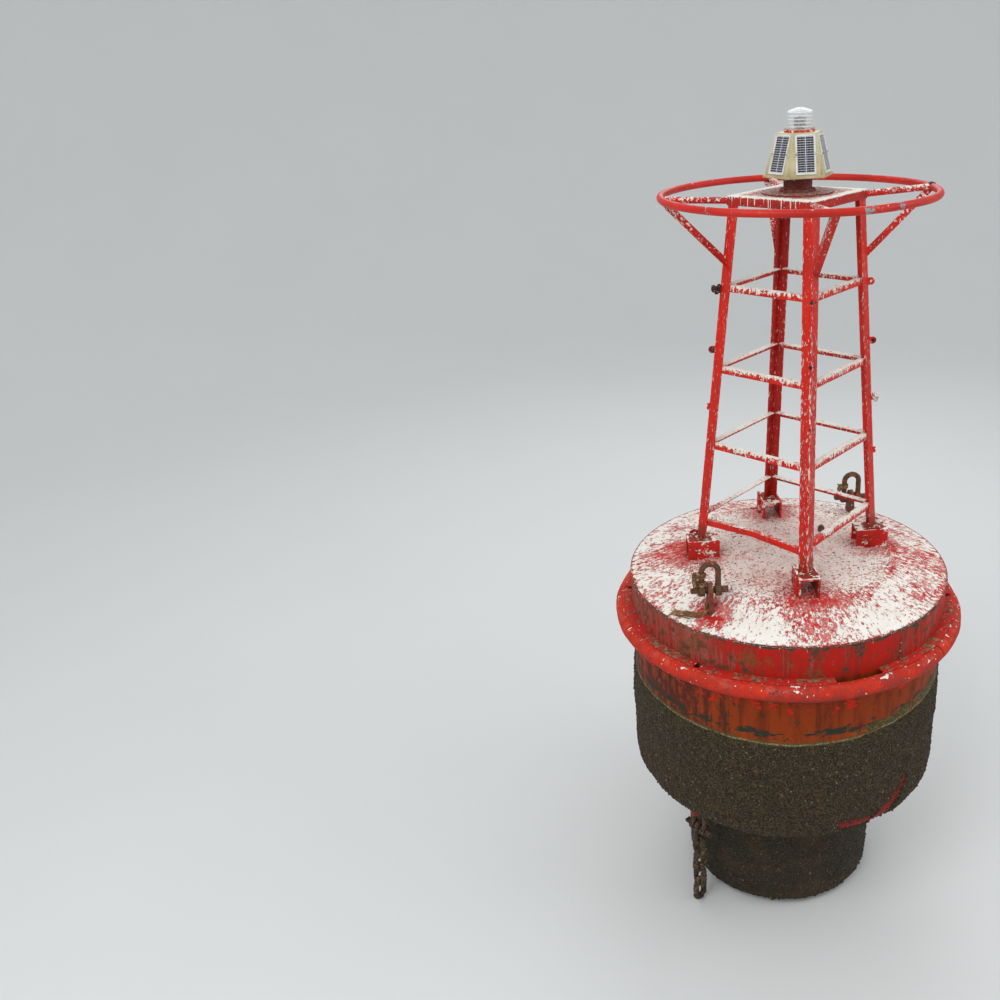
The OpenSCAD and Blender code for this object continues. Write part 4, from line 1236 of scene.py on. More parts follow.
class Bench:
    """Modelling steps that the sub-assemblies share."""

    @staticmethod
    def clear() -> None:
        """Leaves edit mode and deselects everything."""
        if bpy.context.object and bpy.context.object.mode != "OBJECT":
            bpy.ops.object.mode_set(mode="OBJECT")
        bpy.ops.object.select_all(action="DESELECT")

    @staticmethod
    def hold(piece: Piece) -> None:
        """Selects one piece alone and makes it active."""
        Bench.clear()
        piece.select_set(True)
        bpy.context.view_layer.objects.active = piece

    @staticmethod
    @contextmanager
    def editing() -> Iterator[None]:
        """Holds the active piece in edit mode, at first with its whole mesh selected."""
        bpy.ops.object.mode_set(mode="EDIT")
        bpy.ops.mesh.select_all(action="SELECT")
        yield
        bpy.ops.object.mode_set(mode="OBJECT")

    @staticmethod
    def pick_top(piece: Piece) -> None:
        """Selects the faces that look up, in edit mode."""
        edit = bmesh.from_edit_mesh(piece.data)
        for face in edit.faces:
            face.select = face.normal.z > 0.9
        edit.select_flush_mode()
        bmesh.update_edit_mesh(piece.data)

    @staticmethod
    def clean(gap: float) -> None:
        """Merges near corners and turns the faces outwards, in edit mode."""
        bpy.ops.mesh.select_all(action="SELECT")
        bpy.ops.mesh.remove_doubles(threshold=gap)
        bpy.ops.mesh.normals_make_consistent(inside=False)

    @staticmethod
    def settle(name: str) -> Piece:
        """Names the active piece and moves its place into its mesh."""
        piece = bpy.context.object
        piece.name = name
        piece.data.name = name
        Bench.hold(piece)
        bpy.ops.object.transform_apply(location=True, rotation=True, scale=True)
        return piece

    @staticmethod
    def block(name: str, middle: Place, size: Place) -> Piece:
        """Makes a block."""
        Bench.clear()
        bpy.ops.mesh.primitive_cube_add(size=1.0, location=middle, scale=size)
        return Bench.settle(name)

    @staticmethod
    def blocks(name: str, count: int, middle: Place, size: Place, edge: float,
               segments: int) -> list[Piece]:
        """Sets blocks evenly round the Z axis.

        Args:
            name: Name of the pieces, before their number.
            count: How many there are.
            middle: Middle of the first.
            size: Its size.
            edge: Width of its rounded edges.
            segments: Faces across a rounded edge.

        Returns:
            The blocks.
        """
        ring = []
        for i in range(count):
            block = Bench.bevel(Bench.block(f"{name}_{i}", middle, size), edge, segments)
            block.data.transform(Matrix.Rotation(math.radians(i * 360.0 / count), 4, "Z"))
            ring.append(block)
        return ring

    @staticmethod
    def disc(name: str, sides: int, radius: float, height: float, middle: Place) -> Piece:
        """Makes an upright cylinder."""
        Bench.clear()
        bpy.ops.mesh.primitive_cylinder_add(vertices=sides, radius=radius, depth=height, location=middle)
        return Bench.settle(name)

    @staticmethod
    def chain(points: Sequence[Place], name: str) -> Piece:
        """Draws a line of edges by extruding one point.

        Args:
            points: The line's corners.
            name: Name of the piece.

        Returns:
            The piece, in edit mode with its mesh selected.
        """
        points = [Vector(p) for p in points]
        Bench.clear()
        bpy.ops.mesh.primitive_plane_add(size=0.1, location=(0.0, 0.0, 0.0))
        piece = bpy.context.object
        piece.name = name
        bpy.ops.object.mode_set(mode="EDIT")
        bpy.ops.mesh.merge(type="CENTER")
        bpy.ops.transform.translate(value=points[0])
        for start, end in zip(points, points[1:]):
            bpy.ops.mesh.extrude_vertices_move(TRANSFORM_OT_translate={"value": end - start})
        bpy.ops.mesh.select_all(action="SELECT")
        return piece

    @staticmethod
    def revolve(name: str, profile: Sequence[tuple[float, float]], steps: int, start: float = 0.0,
                turn: float = 360.0, closed: bool = True) -> Piece:
        """Spins a profile round the Z axis.

        Args:
            name: Name of the piece.
            profile: Corners as radius and height.
            steps: Steps of the spin.
            start: Where it starts, in degrees.
            turn: How far it turns, in degrees. Less than a full turn gets end caps.
            closed: True if the last corner joins the first, False if both lie on the axis.

        Returns:
            The piece, in object mode.
        """
        a = math.radians(start)
        points = [(r * math.cos(a), r * math.sin(a), z) for r, z in profile]
        Bench.chain(points + points[:1] if closed else points, name)
        bpy.ops.mesh.remove_doubles(threshold=MERGE)
        if turn < 360.0:
            bpy.ops.mesh.edge_face_add()
        bpy.ops.mesh.spin(steps=steps, angle=-math.radians(turn), center=(0.0, 0.0, 0.0),
                          axis=(0.0, 0.0, 1.0))
        Bench.clean(MERGE)
        bpy.ops.object.mode_set(mode="OBJECT")
        return Bench.settle(name)

    @staticmethod
    def tube(name: str, points: Sequence[Place], radius: float, sides: int,
             taper: Sequence[float] | None = None) -> Piece:
        """Draws a round bar along a smooth curve.

        Args:
            name: Name of the piece.
            points: Points that the curve passes.
            radius: Radius of the bar.
            sides: Bevel resolution: a bar has 2 * sides + 4 sides.
            taper: Share of the radius at each point.

        Returns:
            The bar as a mesh, in object mode.
        """
        Bench.clear()
        bpy.ops.curve.primitive_bezier_curve_add(location=(0.0, 0.0, 0.0))
        piece = bpy.context.object
        curve = piece.data
        curve.splines.clear()
        spline = curve.splines.new("BEZIER")
        spline.bezier_points.add(len(points) - 1)
        for i, (knot, point) in enumerate(zip(spline.bezier_points, points)):
            knot.co = point
            knot.handle_left_type = knot.handle_right_type = "AUTO"
            knot.radius = taper[i] if taper else 1.0
        curve.resolution_u = 5
        curve.bevel_depth = radius
        curve.bevel_resolution = sides
        curve.use_fill_caps = True
        bpy.ops.object.convert(target="MESH")
        with Bench.editing():
            Bench.clean(MERGE / 10)
        return Bench.settle(name)

    @staticmethod
    def cad_copy(name: str, node: str, weld: float = 2e-6) -> Piece:
        """Copies a CAD node's mesh into a new piece and merges its loose triangles.

        Args:
            name: Name of the piece.
            node: The CAD node.
            weld: Distance under which corners merge.

        Returns:
            The copy, in object mode, with flat faces joined.
        """
        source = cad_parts[node]
        Bench.clear()
        bpy.ops.mesh.primitive_plane_add(size=0.01)
        piece = bpy.context.object
        piece.name = name
        piece.data = source.data.copy()
        piece.data.name = name
        piece.data.materials.clear()
        Bench.hold(piece)
        if piece.data.has_custom_normals:
            bpy.ops.mesh.customdata_custom_splitnormals_clear()
        with Bench.editing():
            bpy.ops.mesh.remove_doubles(threshold=weld)
            bpy.ops.mesh.dissolve_limited(angle_limit=math.radians(1.5))
        return piece

    @staticmethod
    def rework(name: str, node: str, slot: Slot, finishes: Sequence[Finish], edge: float = 0.0,
               segments: int = 2, shade: float = 40.0, sharp: float = 40.0, weld: float = 2e-6) -> None:
        """Dresses a CAD node's own shape, with its edges rounded.

        Args:
            name: Name of the new piece.
            node: The CAD node that it replaces.
            slot: Its material slot.
            finishes: Its finish, and the one of its rounded edges if they have their own.
            edge: Width of the rounded edges, or 0.
            segments: Faces across a rounded edge.
            shade: Angle under which it is shaded smooth, or 0 for flat faces.
            sharp: Angle above which an edge is rounded.
            weld: Distance under which corners merge.
        """
        piece = Bench.cad_copy(name, node, weld)
        if edge:
            Bench.bevel(piece, edge, segments, sharp, 1 if len(finishes) > 1 else -1)
        Bench.dress(piece, slot, finishes, [node], shade)

    @staticmethod
    def modify(piece: Piece, kind: str, **settings: object) -> Piece:
        """Adds a modifier and applies it."""
        Bench.hold(piece)
        modifier = piece.modifiers.new(kind.lower(), kind)
        for key, value in settings.items():
            setattr(modifier, key, value)
        bpy.ops.object.modifier_apply(modifier=modifier.name)
        return piece

    @staticmethod
    def bevel(piece: Piece, width: float, segments: int = 2, angle: float = 40.0,
              edge_slot: int = -1) -> Piece:
        """Rounds the edges that are sharper than an angle."""
        return Bench.modify(piece, "BEVEL", width=width, segments=segments, limit_method="ANGLE",
                            angle_limit=math.radians(angle), material=edge_slot, use_clamp_overlap=True)

    @staticmethod
    def lumps(piece: Piece, size: float, depth: float, mid: float = 0.5) -> Piece:
        """Pushes a mesh in and out by a procedural pattern.

        Args:
            piece: The piece.
            size: Size of one lump.
            depth: How far the pattern moves the surface, from its lowest to its highest.
            mid: Level of the pattern that stays where it is.

        Returns:
            The piece.
        """
        pattern = bpy.data.textures.new(f"{piece.name}_clouds", "CLOUDS")
        pattern.noise_scale = size
        pattern.noise_depth = 2
        return Bench.modify(piece, "DISPLACE", texture=pattern, texture_coords="LOCAL",
                            strength=depth, mid_level=mid)

    @staticmethod
    def nudge(piece: Piece, move: Callable[[Vector, Vector], Vector]) -> None:
        """Moves every corner by a rule of its place and normal."""
        mesh = piece.data
        moves = [move(vertex.co, vertex.normal) for vertex in mesh.vertices]
        for vertex, shift in zip(mesh.vertices, moves):
            vertex.co += shift
        mesh.update()

    @staticmethod
    def remesh(piece: Piece, voxel: float) -> None:
        """Rebuilds a piece as an even grid of faces."""
        Bench.hold(piece)
        piece.data.remesh_voxel_size = voxel
        piece.data.remesh_voxel_adaptivity = 0.0
        bpy.ops.object.voxel_remesh()

    @staticmethod
    def join(name: str, pieces: Sequence[Piece]) -> Piece:
        """Joins pieces into one."""
        Bench.hold(pieces[0])
        for piece in pieces:
            piece.select_set(True)
        bpy.context.view_layer.objects.active = pieces[0]
        bpy.ops.object.join()
        return Bench.settle(name)

    @staticmethod
    def twin(piece: Piece, name: str, matrix: Matrix) -> Piece:
        """Copies a piece with its own mesh and moves the copy."""
        copy = piece.copy()
        copy.data = piece.data.copy()
        copy.name = name
        copy.data.name = name
        bpy.context.scene.collection.objects.link(copy)
        copy.data.transform(matrix)
        return copy

    @staticmethod
    def smooth(piece: Piece, angle: float) -> Piece:
        """Shades a piece smooth except across sharp edges."""
        Bench.hold(piece)
        bpy.ops.object.shade_smooth_by_angle(angle=math.radians(angle))
        return piece

    @staticmethod
    def scatter(name: str, shape: Piece, places: Sequence[Matrix],
                tints: Sequence[float] | None = None) -> Piece:
        """Joins many copies of one small shape into a piece.

        Args:
            name: Name of the piece.
            shape: The shape, which is removed afterwards.
            places: Where each copy goes.
            tints: A number for each copy, kept as the attribute "tint".

        Returns:
            The joined piece.
        """
        corners = [v.co.copy() for v in shape.data.vertices]
        faces = [tuple(p.vertices) for p in shape.data.polygons]
        all_corners: list[Vector] = []
        all_faces: list[tuple[int, ...]] = []
        for place in places:
            base = len(all_corners)
            all_corners.extend(place @ corner for corner in corners)
            all_faces.extend(tuple(base + i for i in face) for face in faces)
        mesh = bpy.data.meshes.new(name)
        mesh.from_pydata(all_corners, [], all_faces)
        if tints:
            tint = mesh.attributes.new("tint", "FLOAT", "POINT")
            tint.data.foreach_set("value", [t for t in tints for _ in corners])
        piece = bpy.data.objects.new(name, mesh)
        bpy.context.scene.collection.objects.link(piece)
        bpy.data.objects.remove(shape)
        return piece

    @staticmethod
    def dress(piece: Piece, slot: Slot, finishes: Sequence[Finish],
              stands_for: Sequence[str] = (), shade: float = 0.0, body: str = "buoy") -> None:
        """Finishes a piece.

        Args:
            piece: The piece.
            slot: Its material slot; not used.
            finishes: Its finishes, one for each material index.
            stands_for: The CAD nodes that it replaces.
            shade: Angle under which it is shaded smooth, or 0 to leave it as it is.
            body: The body that it moves with.
        """
        if shade:
            Bench.smooth(piece, shade)
        keep = [polygon.material_index for polygon in piece.data.polygons]
        piece.data.materials.clear()
        for finish in finishes:
            piece.data.materials.append(made(finish))
        last = len(finishes) - 1
        piece.data.polygons.foreach_set("material_index", [min(i, last) for i in keep])
        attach(piece, body)
        if stands_for:
            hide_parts(*stands_for)
        log.info("%s: %d faces on %s", piece.name, len(piece.data.polygons), body)

    @staticmethod
    def repaint(node: str, finish: Finish) -> None:
        """Gives a CAD node whose shape is right a new finish."""
        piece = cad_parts[node]
        piece.data.materials.clear()
        piece.data.materials.append(made(finish))
        log.info("%s: CAD node, %s", node, finish.name)


@dataclass
class Studio:
    """Camera at the photograph's place, pale floor and soft light.

    Attributes:
        eye: Camera's place.
        look: Direction in which it looks.
        roll_deg: Its roll, clockwise as seen from behind it.
        lens_mm: Focal length on a 36 mm sensor.
        shift: Shift of the picture, in picture widths.
        floor_r: Radius at which the floor starts to curve up.
        cove_r: Radius of that curve.
        wall_z: Height of the wall's top.
    """

    eye: Place = (-1.506, -6.546, 6.411)
    look: Place = (0.0529, 0.8965, -0.4395)
    roll_deg: float = 2.41
    lens_mm: float = 34.92
    shift: tuple[float, float] = (-0.14, 0.03)
    floor_r: float = 15.0
    cove_r: float = 12.0
    wall_z: float = 19.0

    def build(self) -> None:
        """Makes the camera, the light and the floor."""
        self._camera()
        self._floor()
        self._light()

    def _camera(self) -> None:
        """Places the camera."""
        data = bpy.data.cameras.new("camera")
        data.sensor_width = 36.0
        data.lens = self.lens_mm
        data.shift_x, data.shift_y = self.shift
        data.clip_end = 200.0
        camera = bpy.data.objects.new("camera", data)
        bpy.context.scene.collection.objects.link(camera)
        ahead = Vector(self.look).normalized()
        right = ahead.cross(Vector((0.0, 0.0, 1.0))).normalized()
        down = ahead.cross(right)
        roll = math.radians(self.roll_deg)
        rolled_right = right * math.cos(roll) + down * math.sin(roll)
        rolled_up = right * math.sin(roll) - down * math.cos(roll)
        turn = Matrix((rolled_right, rolled_up, -ahead)).transposed()
        camera.matrix_world = Matrix.Translation(self.eye) @ turn.to_4x4()
        bpy.context.scene.camera = camera

    def _floor(self) -> None:
        """Spins a floor that curves up into a wall far from the buoy."""
        cove = [(self.floor_r + self.cove_r * math.sin(math.radians(a)),
                 self.cove_r * (1.0 - math.cos(math.radians(a)))) for a in range(0, 91, 10)]
        profile = [(0.0, 0.0), *cove, (self.floor_r + self.cove_r, self.wall_z)]
        floor = Bench.revolve("floor", profile, 96, closed=False)
        Bench.smooth(floor, 60.0)
        floor.data.materials.append(made(StudioFloor()))

    @staticmethod
    def _light() -> None:
        """Lights the scene as an overcast sky does, a little stronger from one side."""
        world = bpy.data.worlds.new("sky")
        bpy.context.scene.world = world
        world.use_nodes = True
        sky = world.node_tree.nodes["Background"]
        sky.inputs["Color"].default_value = srgb(238, 239, 238)
        sky.inputs["Strength"].default_value = 0.95
        lamps = (("key", (-7.0, -8.0, 12.0), 8.0, 700.0), ("fill", (9.0, -3.0, 8.0), 7.0, 260.0),
                 ("rim", (2.0, 10.0, 10.0), 7.0, 260.0))
        for name, place, size, power in lamps:
            data = bpy.data.lights.new(name, "AREA")
            data.shape = "DISK"
            data.size = size
            data.energy = power
            lamp = bpy.data.objects.new(name, data)
            lamp.location = place
            lamp.rotation_mode = "QUATERNION"
            lamp.rotation_quaternion = (Vector((0.0, 0.0, 3.0)) - lamp.location).to_track_quat("-Z", "Y")
            bpy.context.scene.collection.objects.link(lamp)
        bpy.context.scene.view_settings.view_transform = "Standard"


@dataclass
class Hull:
    """Drum, deck and what is welded to them.

    Attributes:
        steps: Steps round the drum.
        dent: Depth of the dents between the frames inside.
        deck_t: Thickness of the deck plate.
        bead_r: Radius of a weld bead.
        seams: Azimuths of the coaming's upright welds.
        seam_h: Height of those welds.
        flat_w: Width of the underside's level ring.
        rings: Rings of faces up the side.
        bits: Bits of litter on the deck.
        litter_r: Radius that they reach.
    """

    steps: int = 256
    dent: float = 0.007
    deck_t: float = 0.012
    bead_r: float = 0.006
    seams: tuple[float, ...] = (-61.0, 48.0, 168.0)
    seam_h: float = 0.30
    flat_w: float = 0.19
    rings: int = 36
    bits: int = 260
    litter_r: float = 1.13

    def build(self) -> None:
        """Makes the drum, the deck, their welds and small fittings."""
        self._drum()
        self._deck()
        self._welds()
        self._litter()
        Bench.repaint("deck_plug", RustyIron("plug_iron"))
        for side in ("left", "right"):
            Bench.rework(f"lifting_eye_{side}", f"padeye_{side}", Slot.RED, [EyePaint()], 0.004, shade=0.0)
            loop = Bench.cad_copy(f"mooring_loop_{side}", f"mooring_eye_{side}")
            Bench.remesh(loop, 0.006)
            Bench.lumps(loop, 0.03, 0.005)
            Bench.dress(loop, Slot.TAIL, [RustyIron("eye_iron", 0.5, 0.3, 0.5)],
                        [f"mooring_eye_{side}"], 50.0)

    def _drum(self) -> None:
        """Spins the drum's skin and dents its side."""
        cone = [(0.0, BOTTOM_IN_Z), (TAIL_R, BOTTOM_IN_Z), (HULL_R - KNUCKLE_R - self.flat_w, BOTTOM_Z)]
        knuckle = section(HULL_R - KNUCKLE_R, BOTTOM_Z + KNUCKLE_R, KNUCKLE_R, range(-90, 1, 10))
        foot, top = knuckle[-1][1], DECK_Z - self.deck_t
        side = [(HULL_R, foot + (top - foot) * i / self.rings) for i in range(1, self.rings + 1)]
        lid = [(CREASE_R, DECK_Z + CREASE_RISE - self.deck_t), (0.0, DECK_Z + CROWN_RISE - self.deck_t)]
        drum = Bench.revolve("drum_skin", cone + knuckle + side + lid, self.steps, closed=False)

        def dent(place: Vector, normal: Vector) -> Vector:
            """Pushes the side in between its frames, and leaves its edges round."""
            level = abs(normal.z)
            inside = step(top - place.z, 0.02, 0.10) * step(place.z, foot, foot + 0.2)
            if level > 0.5 or inside <= 0.0:
                return Vector()
            wave = noise.noise(Vector((place.x, place.y, place.z * 0.7)) * 2.1)
            small = noise.noise(place * 7.0)
            return Vector((normal.x, normal.y, 0.0)) * inside * (wave * self.dent + small * 0.002 - 0.002)

        Bench.nudge(drum, dent)
        Bench.dress(drum, Slot.HULL, [HullPaint()], ["drum"], 40.0)

    def _deck(self) -> None:
        """Spins the deck plate with its crease, and buckles it a little."""
        radii = [HULL_R - 0.04 * i for i in range(11)] + [CREASE_R - 0.04 * i for i in range(1, 19)]
        top = [(r, deck_height(r)) for r in radii] + [(0.0, deck_height(0.0))]
        under = [(0.0, deck_height(0.0) - self.deck_t), (CREASE_R, deck_height(CREASE_R) - self.deck_t),
                 (HULL_R, DECK_Z - self.deck_t)]
        deck = Bench.revolve("deck_plate", under + top, self.steps, closed=False)

        def buckle(place: Vector, normal: Vector) -> Vector:
            """Buckles the top between its edge and its middle."""
            radius = math.hypot(place.x, place.y)
            share = step(radius, 0.10, 0.3) * step(HULL_R - radius, 0.0, 0.1) * step(normal.z, 0.5, 0.8)
            return Vector((0.0, 0.0, noise.noise(place * 3.0) * 0.004 * share))

        Bench.nudge(deck, buckle)
        Bench.bevel(deck, 0.002, 2, 60.0)
        Bench.dress(deck, Slot.DECK, [DeckPaint()], ["deck"], 35.0)

    def _bead(self, name: str, radius: float, z: float) -> Piece:
        """Makes a rippled weld bead round the hull."""
        bead = Bench.revolve(name, section(radius, z, self.bead_r, range(0, 360, 60)), 420)
        return Bench.lumps(bead, 0.012, 0.005)

    def _welds(self) -> None:
        """Makes the welds of the deck's crease, its edge and the coaming."""
        crease = self._bead("deck_crease_weld", CREASE_R, deck_height(CREASE_R) - 0.0035)
        Bench.dress(crease, Slot.DECK, [DeckPaint()], shade=60.0)
        beads = [self._bead("weld_edge", HULL_R - 0.002, DECK_Z - 0.004)]
        low = DECK_Z - self.seam_h
        for i, degrees in enumerate(self.seams):
            points = [polar(HULL_R, degrees + 0.05 * (k % 2), low + (DECK_Z - low) * k / 12)
                      for k in range(13)]
            beads.append(Bench.lumps(Bench.tube(f"weld_seam_{i}", points, self.bead_r, 1), 0.012, 0.004))
        weld = Bench.join("deck_welds", beads)
        Bench.dress(weld, Slot.HULL, [WeldPaint()], shade=60.0)

    def _litter(self) -> None:
        """Strews bits of twig, shell and dried droppings over the deck."""
        rng = random.Random(11)
        Bench.clear()
        bpy.ops.mesh.primitive_ico_sphere_add(subdivisions=1, radius=0.5)
        chip = bpy.context.object
        places = []
        for _ in range(self.bits):
            spread = rng.random() ** 0.7
            spot = polar(self.litter_r * spread, rng.uniform(-180.0, 180.0))
            size = Vector((rng.uniform(0.008, 0.03), rng.uniform(0.004, 0.012), rng.uniform(0.003, 0.007)))
            spot.z = deck_height(spot.length) + size.z * 0.25
            turn = Matrix.Rotation(rng.uniform(0.0, math.tau), 4, "Z")
            places.append(Matrix.Translation(spot) @ turn @ Matrix.Diagonal((*size, 1.0)))
        litter = Bench.scatter("deck_litter", chip, places)
        Bench.dress(litter, Slot.GROWTH, [Litter()])


@dataclass
class Fender:
    """Rubber tube in three lengths between two flanges.

    Attributes:
        pipe_r: Radius of the tube.
        ring_r: Radius of the ring that it makes.
        z: Height of its middle.
        joints: Azimuths of its joints.
        gap_deg: Gap at a joint.
        plates: First and last azimuth of each plate of the upper flange.
        upper_z: Height of the upper flange's top.
        plate_t: Thickness of the flanges.
        plate_w: Width of the upper flange.
        lower_w: Width of the lower flange.
    """

    pipe_r: float = 0.060
    ring_r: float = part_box("fender")[1].x - pipe_r
    z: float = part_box("fender")[0].z + pipe_r
    joints: tuple[float, ...] = (-45.0, 75.0, 195.0)
    gap_deg: float = 0.5
    plates: tuple[tuple[float, float], ...] = (
        (-70.0, -12.0), (-10.0, 48.0), (50.0, 108.0), (110.0, 168.0), (170.0, 228.0), (230.0, 274.0))
    upper_z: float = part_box("fender_flange_upper")[1].z
    plate_t: float = 0.012
    plate_w: float = 0.072
    lower_w: float = 0.058

    def build(self) -> None:
        """Makes the tube and the flanges."""
        self._tube()
        upper = [self._plate(f"flange_plate_{i}", first, last, self.upper_z, self.plate_w, 0.016)
                 for i, (first, last) in enumerate(self.plates)]
        flange = Bench.join("upper_flange_plates", upper)
        Bench.dress(flange, Slot.RED, [FlangePaint()], ["fender_flange_upper"])
        low_z = self.z - self.pipe_r
        lower = self._plate("lower_flange_plate", 0.0, 360.0, low_z, self.lower_w, 0.006)
        Bench.dress(lower, Slot.RED, [FlangePaint("lower_flange_paint", 0.7)],
                    ["fender_flange_lower"])

    def _tube(self) -> None:
        """Spins the three lengths, each a little out of round and out of line."""
        lengths = []
        circle = section(self.ring_r, self.z, self.pipe_r, range(0, 360, 12))
        for i, joint in enumerate(self.joints):
            turn = 120.0 - self.gap_deg
            piece = Bench.revolve(f"fender_length_{i}", circle, 130, joint + self.gap_deg / 2, turn)
            Bench.bevel(piece, 0.006, 2, 60.0)
            Bench.lumps(piece, 0.22, 0.010)
            Bench.lumps(piece, 0.05, 0.003)
            lean = (0.003, -0.003, 0.001)[i]
            Bench.nudge(piece, lambda place, _, lean=lean, joint=joint: Vector(
                (0.0, 0.0, lean * step((azimuth(place) - joint) % 360.0, 30.0, 0.0))))
            lengths.append(piece)
        tube = Bench.join("fender_tube", lengths)
        Bench.dress(tube, Slot.FENDER, [FenderRubber()], ["fender"], 45.0)

    def _plate(self, name: str, first: float, last: float, top: float, width: float,
               eaten: float) -> Piece:
        """Makes one flange plate with a rust-eaten outer edge.

        Args:
            name: Name of the piece.
            first: Azimuth where it starts.
            last: Azimuth where it ends.
            top: Height of its upper face.
            width: Width of the plate.
            eaten: Depth of the largest bites.

        Returns:
            The plate.
        """
        inner = HULL_R - 0.004
        outer = HULL_R + width
        low = top - self.plate_t
        middle = HULL_R + width * 0.6
        profile = [(inner, low), (middle, low), (outer, low), (outer, top), (middle, top), (inner, top)]
        plate = Bench.revolve(name, profile, int((last - first) * 1.6), first, last - first)

        def eat(place: Vector, _: Vector) -> Vector:
            """Takes bites out of the outer edge and warps the plate."""
            radius = math.hypot(place.x, place.y)
            outward = Vector((place.x, place.y, 0.0)) / radius
            edge = step(radius, HULL_R + width * 0.7, outer)
            bite = max(noise.noise(outward * 9.0), 0.0) * 1.2 + max(noise.noise(outward * 31.0), 0.0) * 0.5
            warp = noise.noise(outward * 5.0) * 0.005 * step(radius, HULL_R, outer)
            return -outward * eaten * bite * edge + Vector((0.0, 0.0, min(warp, 0.001)))

        Bench.nudge(plate, eat)
        Bench.bevel(plate, 0.0025, 2, 50.0)
        return Bench.smooth(plate, 35.0)


@dataclass
class Growth:
    """Crust of shells and weed round the hull and the tail.

    Attributes:
        thick: Mean thickness of the crust.
        edge_drops: Azimuth and depth of the crust's upper edge below the deck edge.
        steps: Steps round the hull.
        pitch: Height of one ring of faces.
        top_drop: Depth at which the mesh ends, above the crust's highest edge.
        scars: Lines of azimuth, height and half height along which the crust is scraped off.
    """

    thick: float = 0.017
    edge_drops: tuple[tuple[float, float], ...] = (
        (-180.0, 0.820), (-153.0, 0.804), (-131.0, 0.815), (-98.0, 0.826), (-75.0, 0.816), (-64.0, 0.797),
        (-52.0, 0.785), (-35.0, 0.790), (0.0, 0.800), (55.0, 0.800), (110.0, 0.785), (150.0, 0.800),
        (180.0, 0.820))
    steps: int = 540
    pitch: float = 0.0135
    top_drop: float = 0.655
    scars: tuple[tuple[Place, ...], ...] = (
        ((279.0, 1.235, 0.015), (283.0, 1.225, 0.034), (287.0, 1.215, 0.016), (291.0, 1.205, 0.034),
         (295.0, 1.205, 0.052), (300.0, 1.245, 0.062), (304.0, 1.320, 0.042), (308.0, 1.420, 0.026),
         (310.0, 1.460, 0.004)),
        ((168.0, 1.20, 0.005), (176.0, 1.20, 0.060), (184.0, 1.19, 0.050), (191.0, 1.20, 0.005)))

    def build(self) -> None:
        """Makes the crusts and the shells that stand out of them."""
        hull = self._hull_crust()
        shells = self._shells("hull_shells", hull, 4200, 5)
        Bench.dress(hull, Slot.GROWTH, [ShellCrust()], ["growth_hull"])
        Bench.dress(shells, Slot.GROWTH, [ShellTint()])
        tail = self._tail_crust()
        tail_shells = self._shells("tail_shells", tail, 2600, 6)
        Bench.dress(tail, Slot.GROWTH, [ShellCrust("tail_shell_crust", wet=0.6)], ["growth_tail"])
        Bench.dress(tail_shells, Slot.GROWTH, [ShellTint()])

    def _edge(self, degrees: float) -> float:
        """Gives the depth of the crust's edge at an azimuth."""
        for (a, low), (b, high) in zip(self.edge_drops, self.edge_drops[1:]):
            if degrees <= b:
                return low + (high - low) * step(degrees, a, b)
        return self.edge_drops[-1][1]

    def _cover(self, place: Vector) -> float:
        """Gives how fully the crust covers the hull at a place, from 0 to 1."""
        degrees = azimuth(place)
        depth = DECK_Z - place.z
        ragged = noise.fractal(place * 14.0, 0.8, 2.1, 4) * 0.016
        cover = step(depth - self._edge(degrees) + ragged, -0.012, 0.03)
        return cover * (1.0 - self._scraped(place, degrees % 360.0))

    def _scraped(self, place: Vector, turn: float) -> float:
        """Gives how far the crust is scraped off at a place, from 0 to 1."""
        for line in self.scars:
            for (a, low_z, low_half), (b, high_z, high_half) in zip(line, line[1:]):
                if a <= turn < b:
                    share = (turn - a) / (b - a)
                    half = low_half + (high_half - low_half) * share
                    reach = abs(place.z - low_z - (high_z - low_z) * share) / (half + 0.008)
                    streak = noise.fractal(place * 30.0, 0.7, 2.1, 4)
                    return step(1.35 - reach + streak * 1.5, 0.15, 0.40)
        return 0.0

    def _hull_crust(self) -> Piece:
        """Spins the crust over the side and the knuckle, then raises it where it covers."""
        inner = HULL_R - 0.030
        centre = HULL_R - KNUCKLE_R
        count = int(KNUCKLE_R * math.pi / 2 / self.pitch)
        knuckle = [(centre + KNUCKLE_R * math.sin(a), BOTTOM_Z + KNUCKLE_R - KNUCKLE_R * math.cos(a))
                   for a in (math.pi / 2 * i / count for i in range(count + 1))]
        low, high = BOTTOM_Z + KNUCKLE_R, DECK_Z - self.top_drop
        rings = int((high - low) / self.pitch)
        side = [(HULL_R, low + (high - low) * i / rings) for i in range(1, rings + 1)]
        back = [(inner, high), (inner, low), (centre - 0.02, BOTTOM_Z + 0.03)]
        crust = Bench.revolve("hull_crust", knuckle + side + back, self.steps)

        def grow(place: Vector, normal: Vector) -> Vector:
            """Raises the outer skin by the crust's thickness and its lumps."""
            radius = math.hypot(place.x, place.y)
            if radius < inner + 0.001 and place.z > low - 0.001:
                return Vector()
            cover = self._cover(place)
            return normal * (cover * (self._lumps(place) + 0.010) - 0.014)

        Bench.nudge(crust, grow)
        return Bench.smooth(crust, 70.0)

    def _lumps(self, place: Vector) -> float:
        """Gives the crust's thickness at a place."""
        clumps = noise.fractal(place * 5.0, 0.8, 2.2, 4) * 0.010
        near = noise.voronoi(place * 40.0)[0][0]
        knobs = max(1.0 - near * 1.5, 0.0) * 0.012
        return max(self.thick + clumps + knobs - 0.004, 0.003)

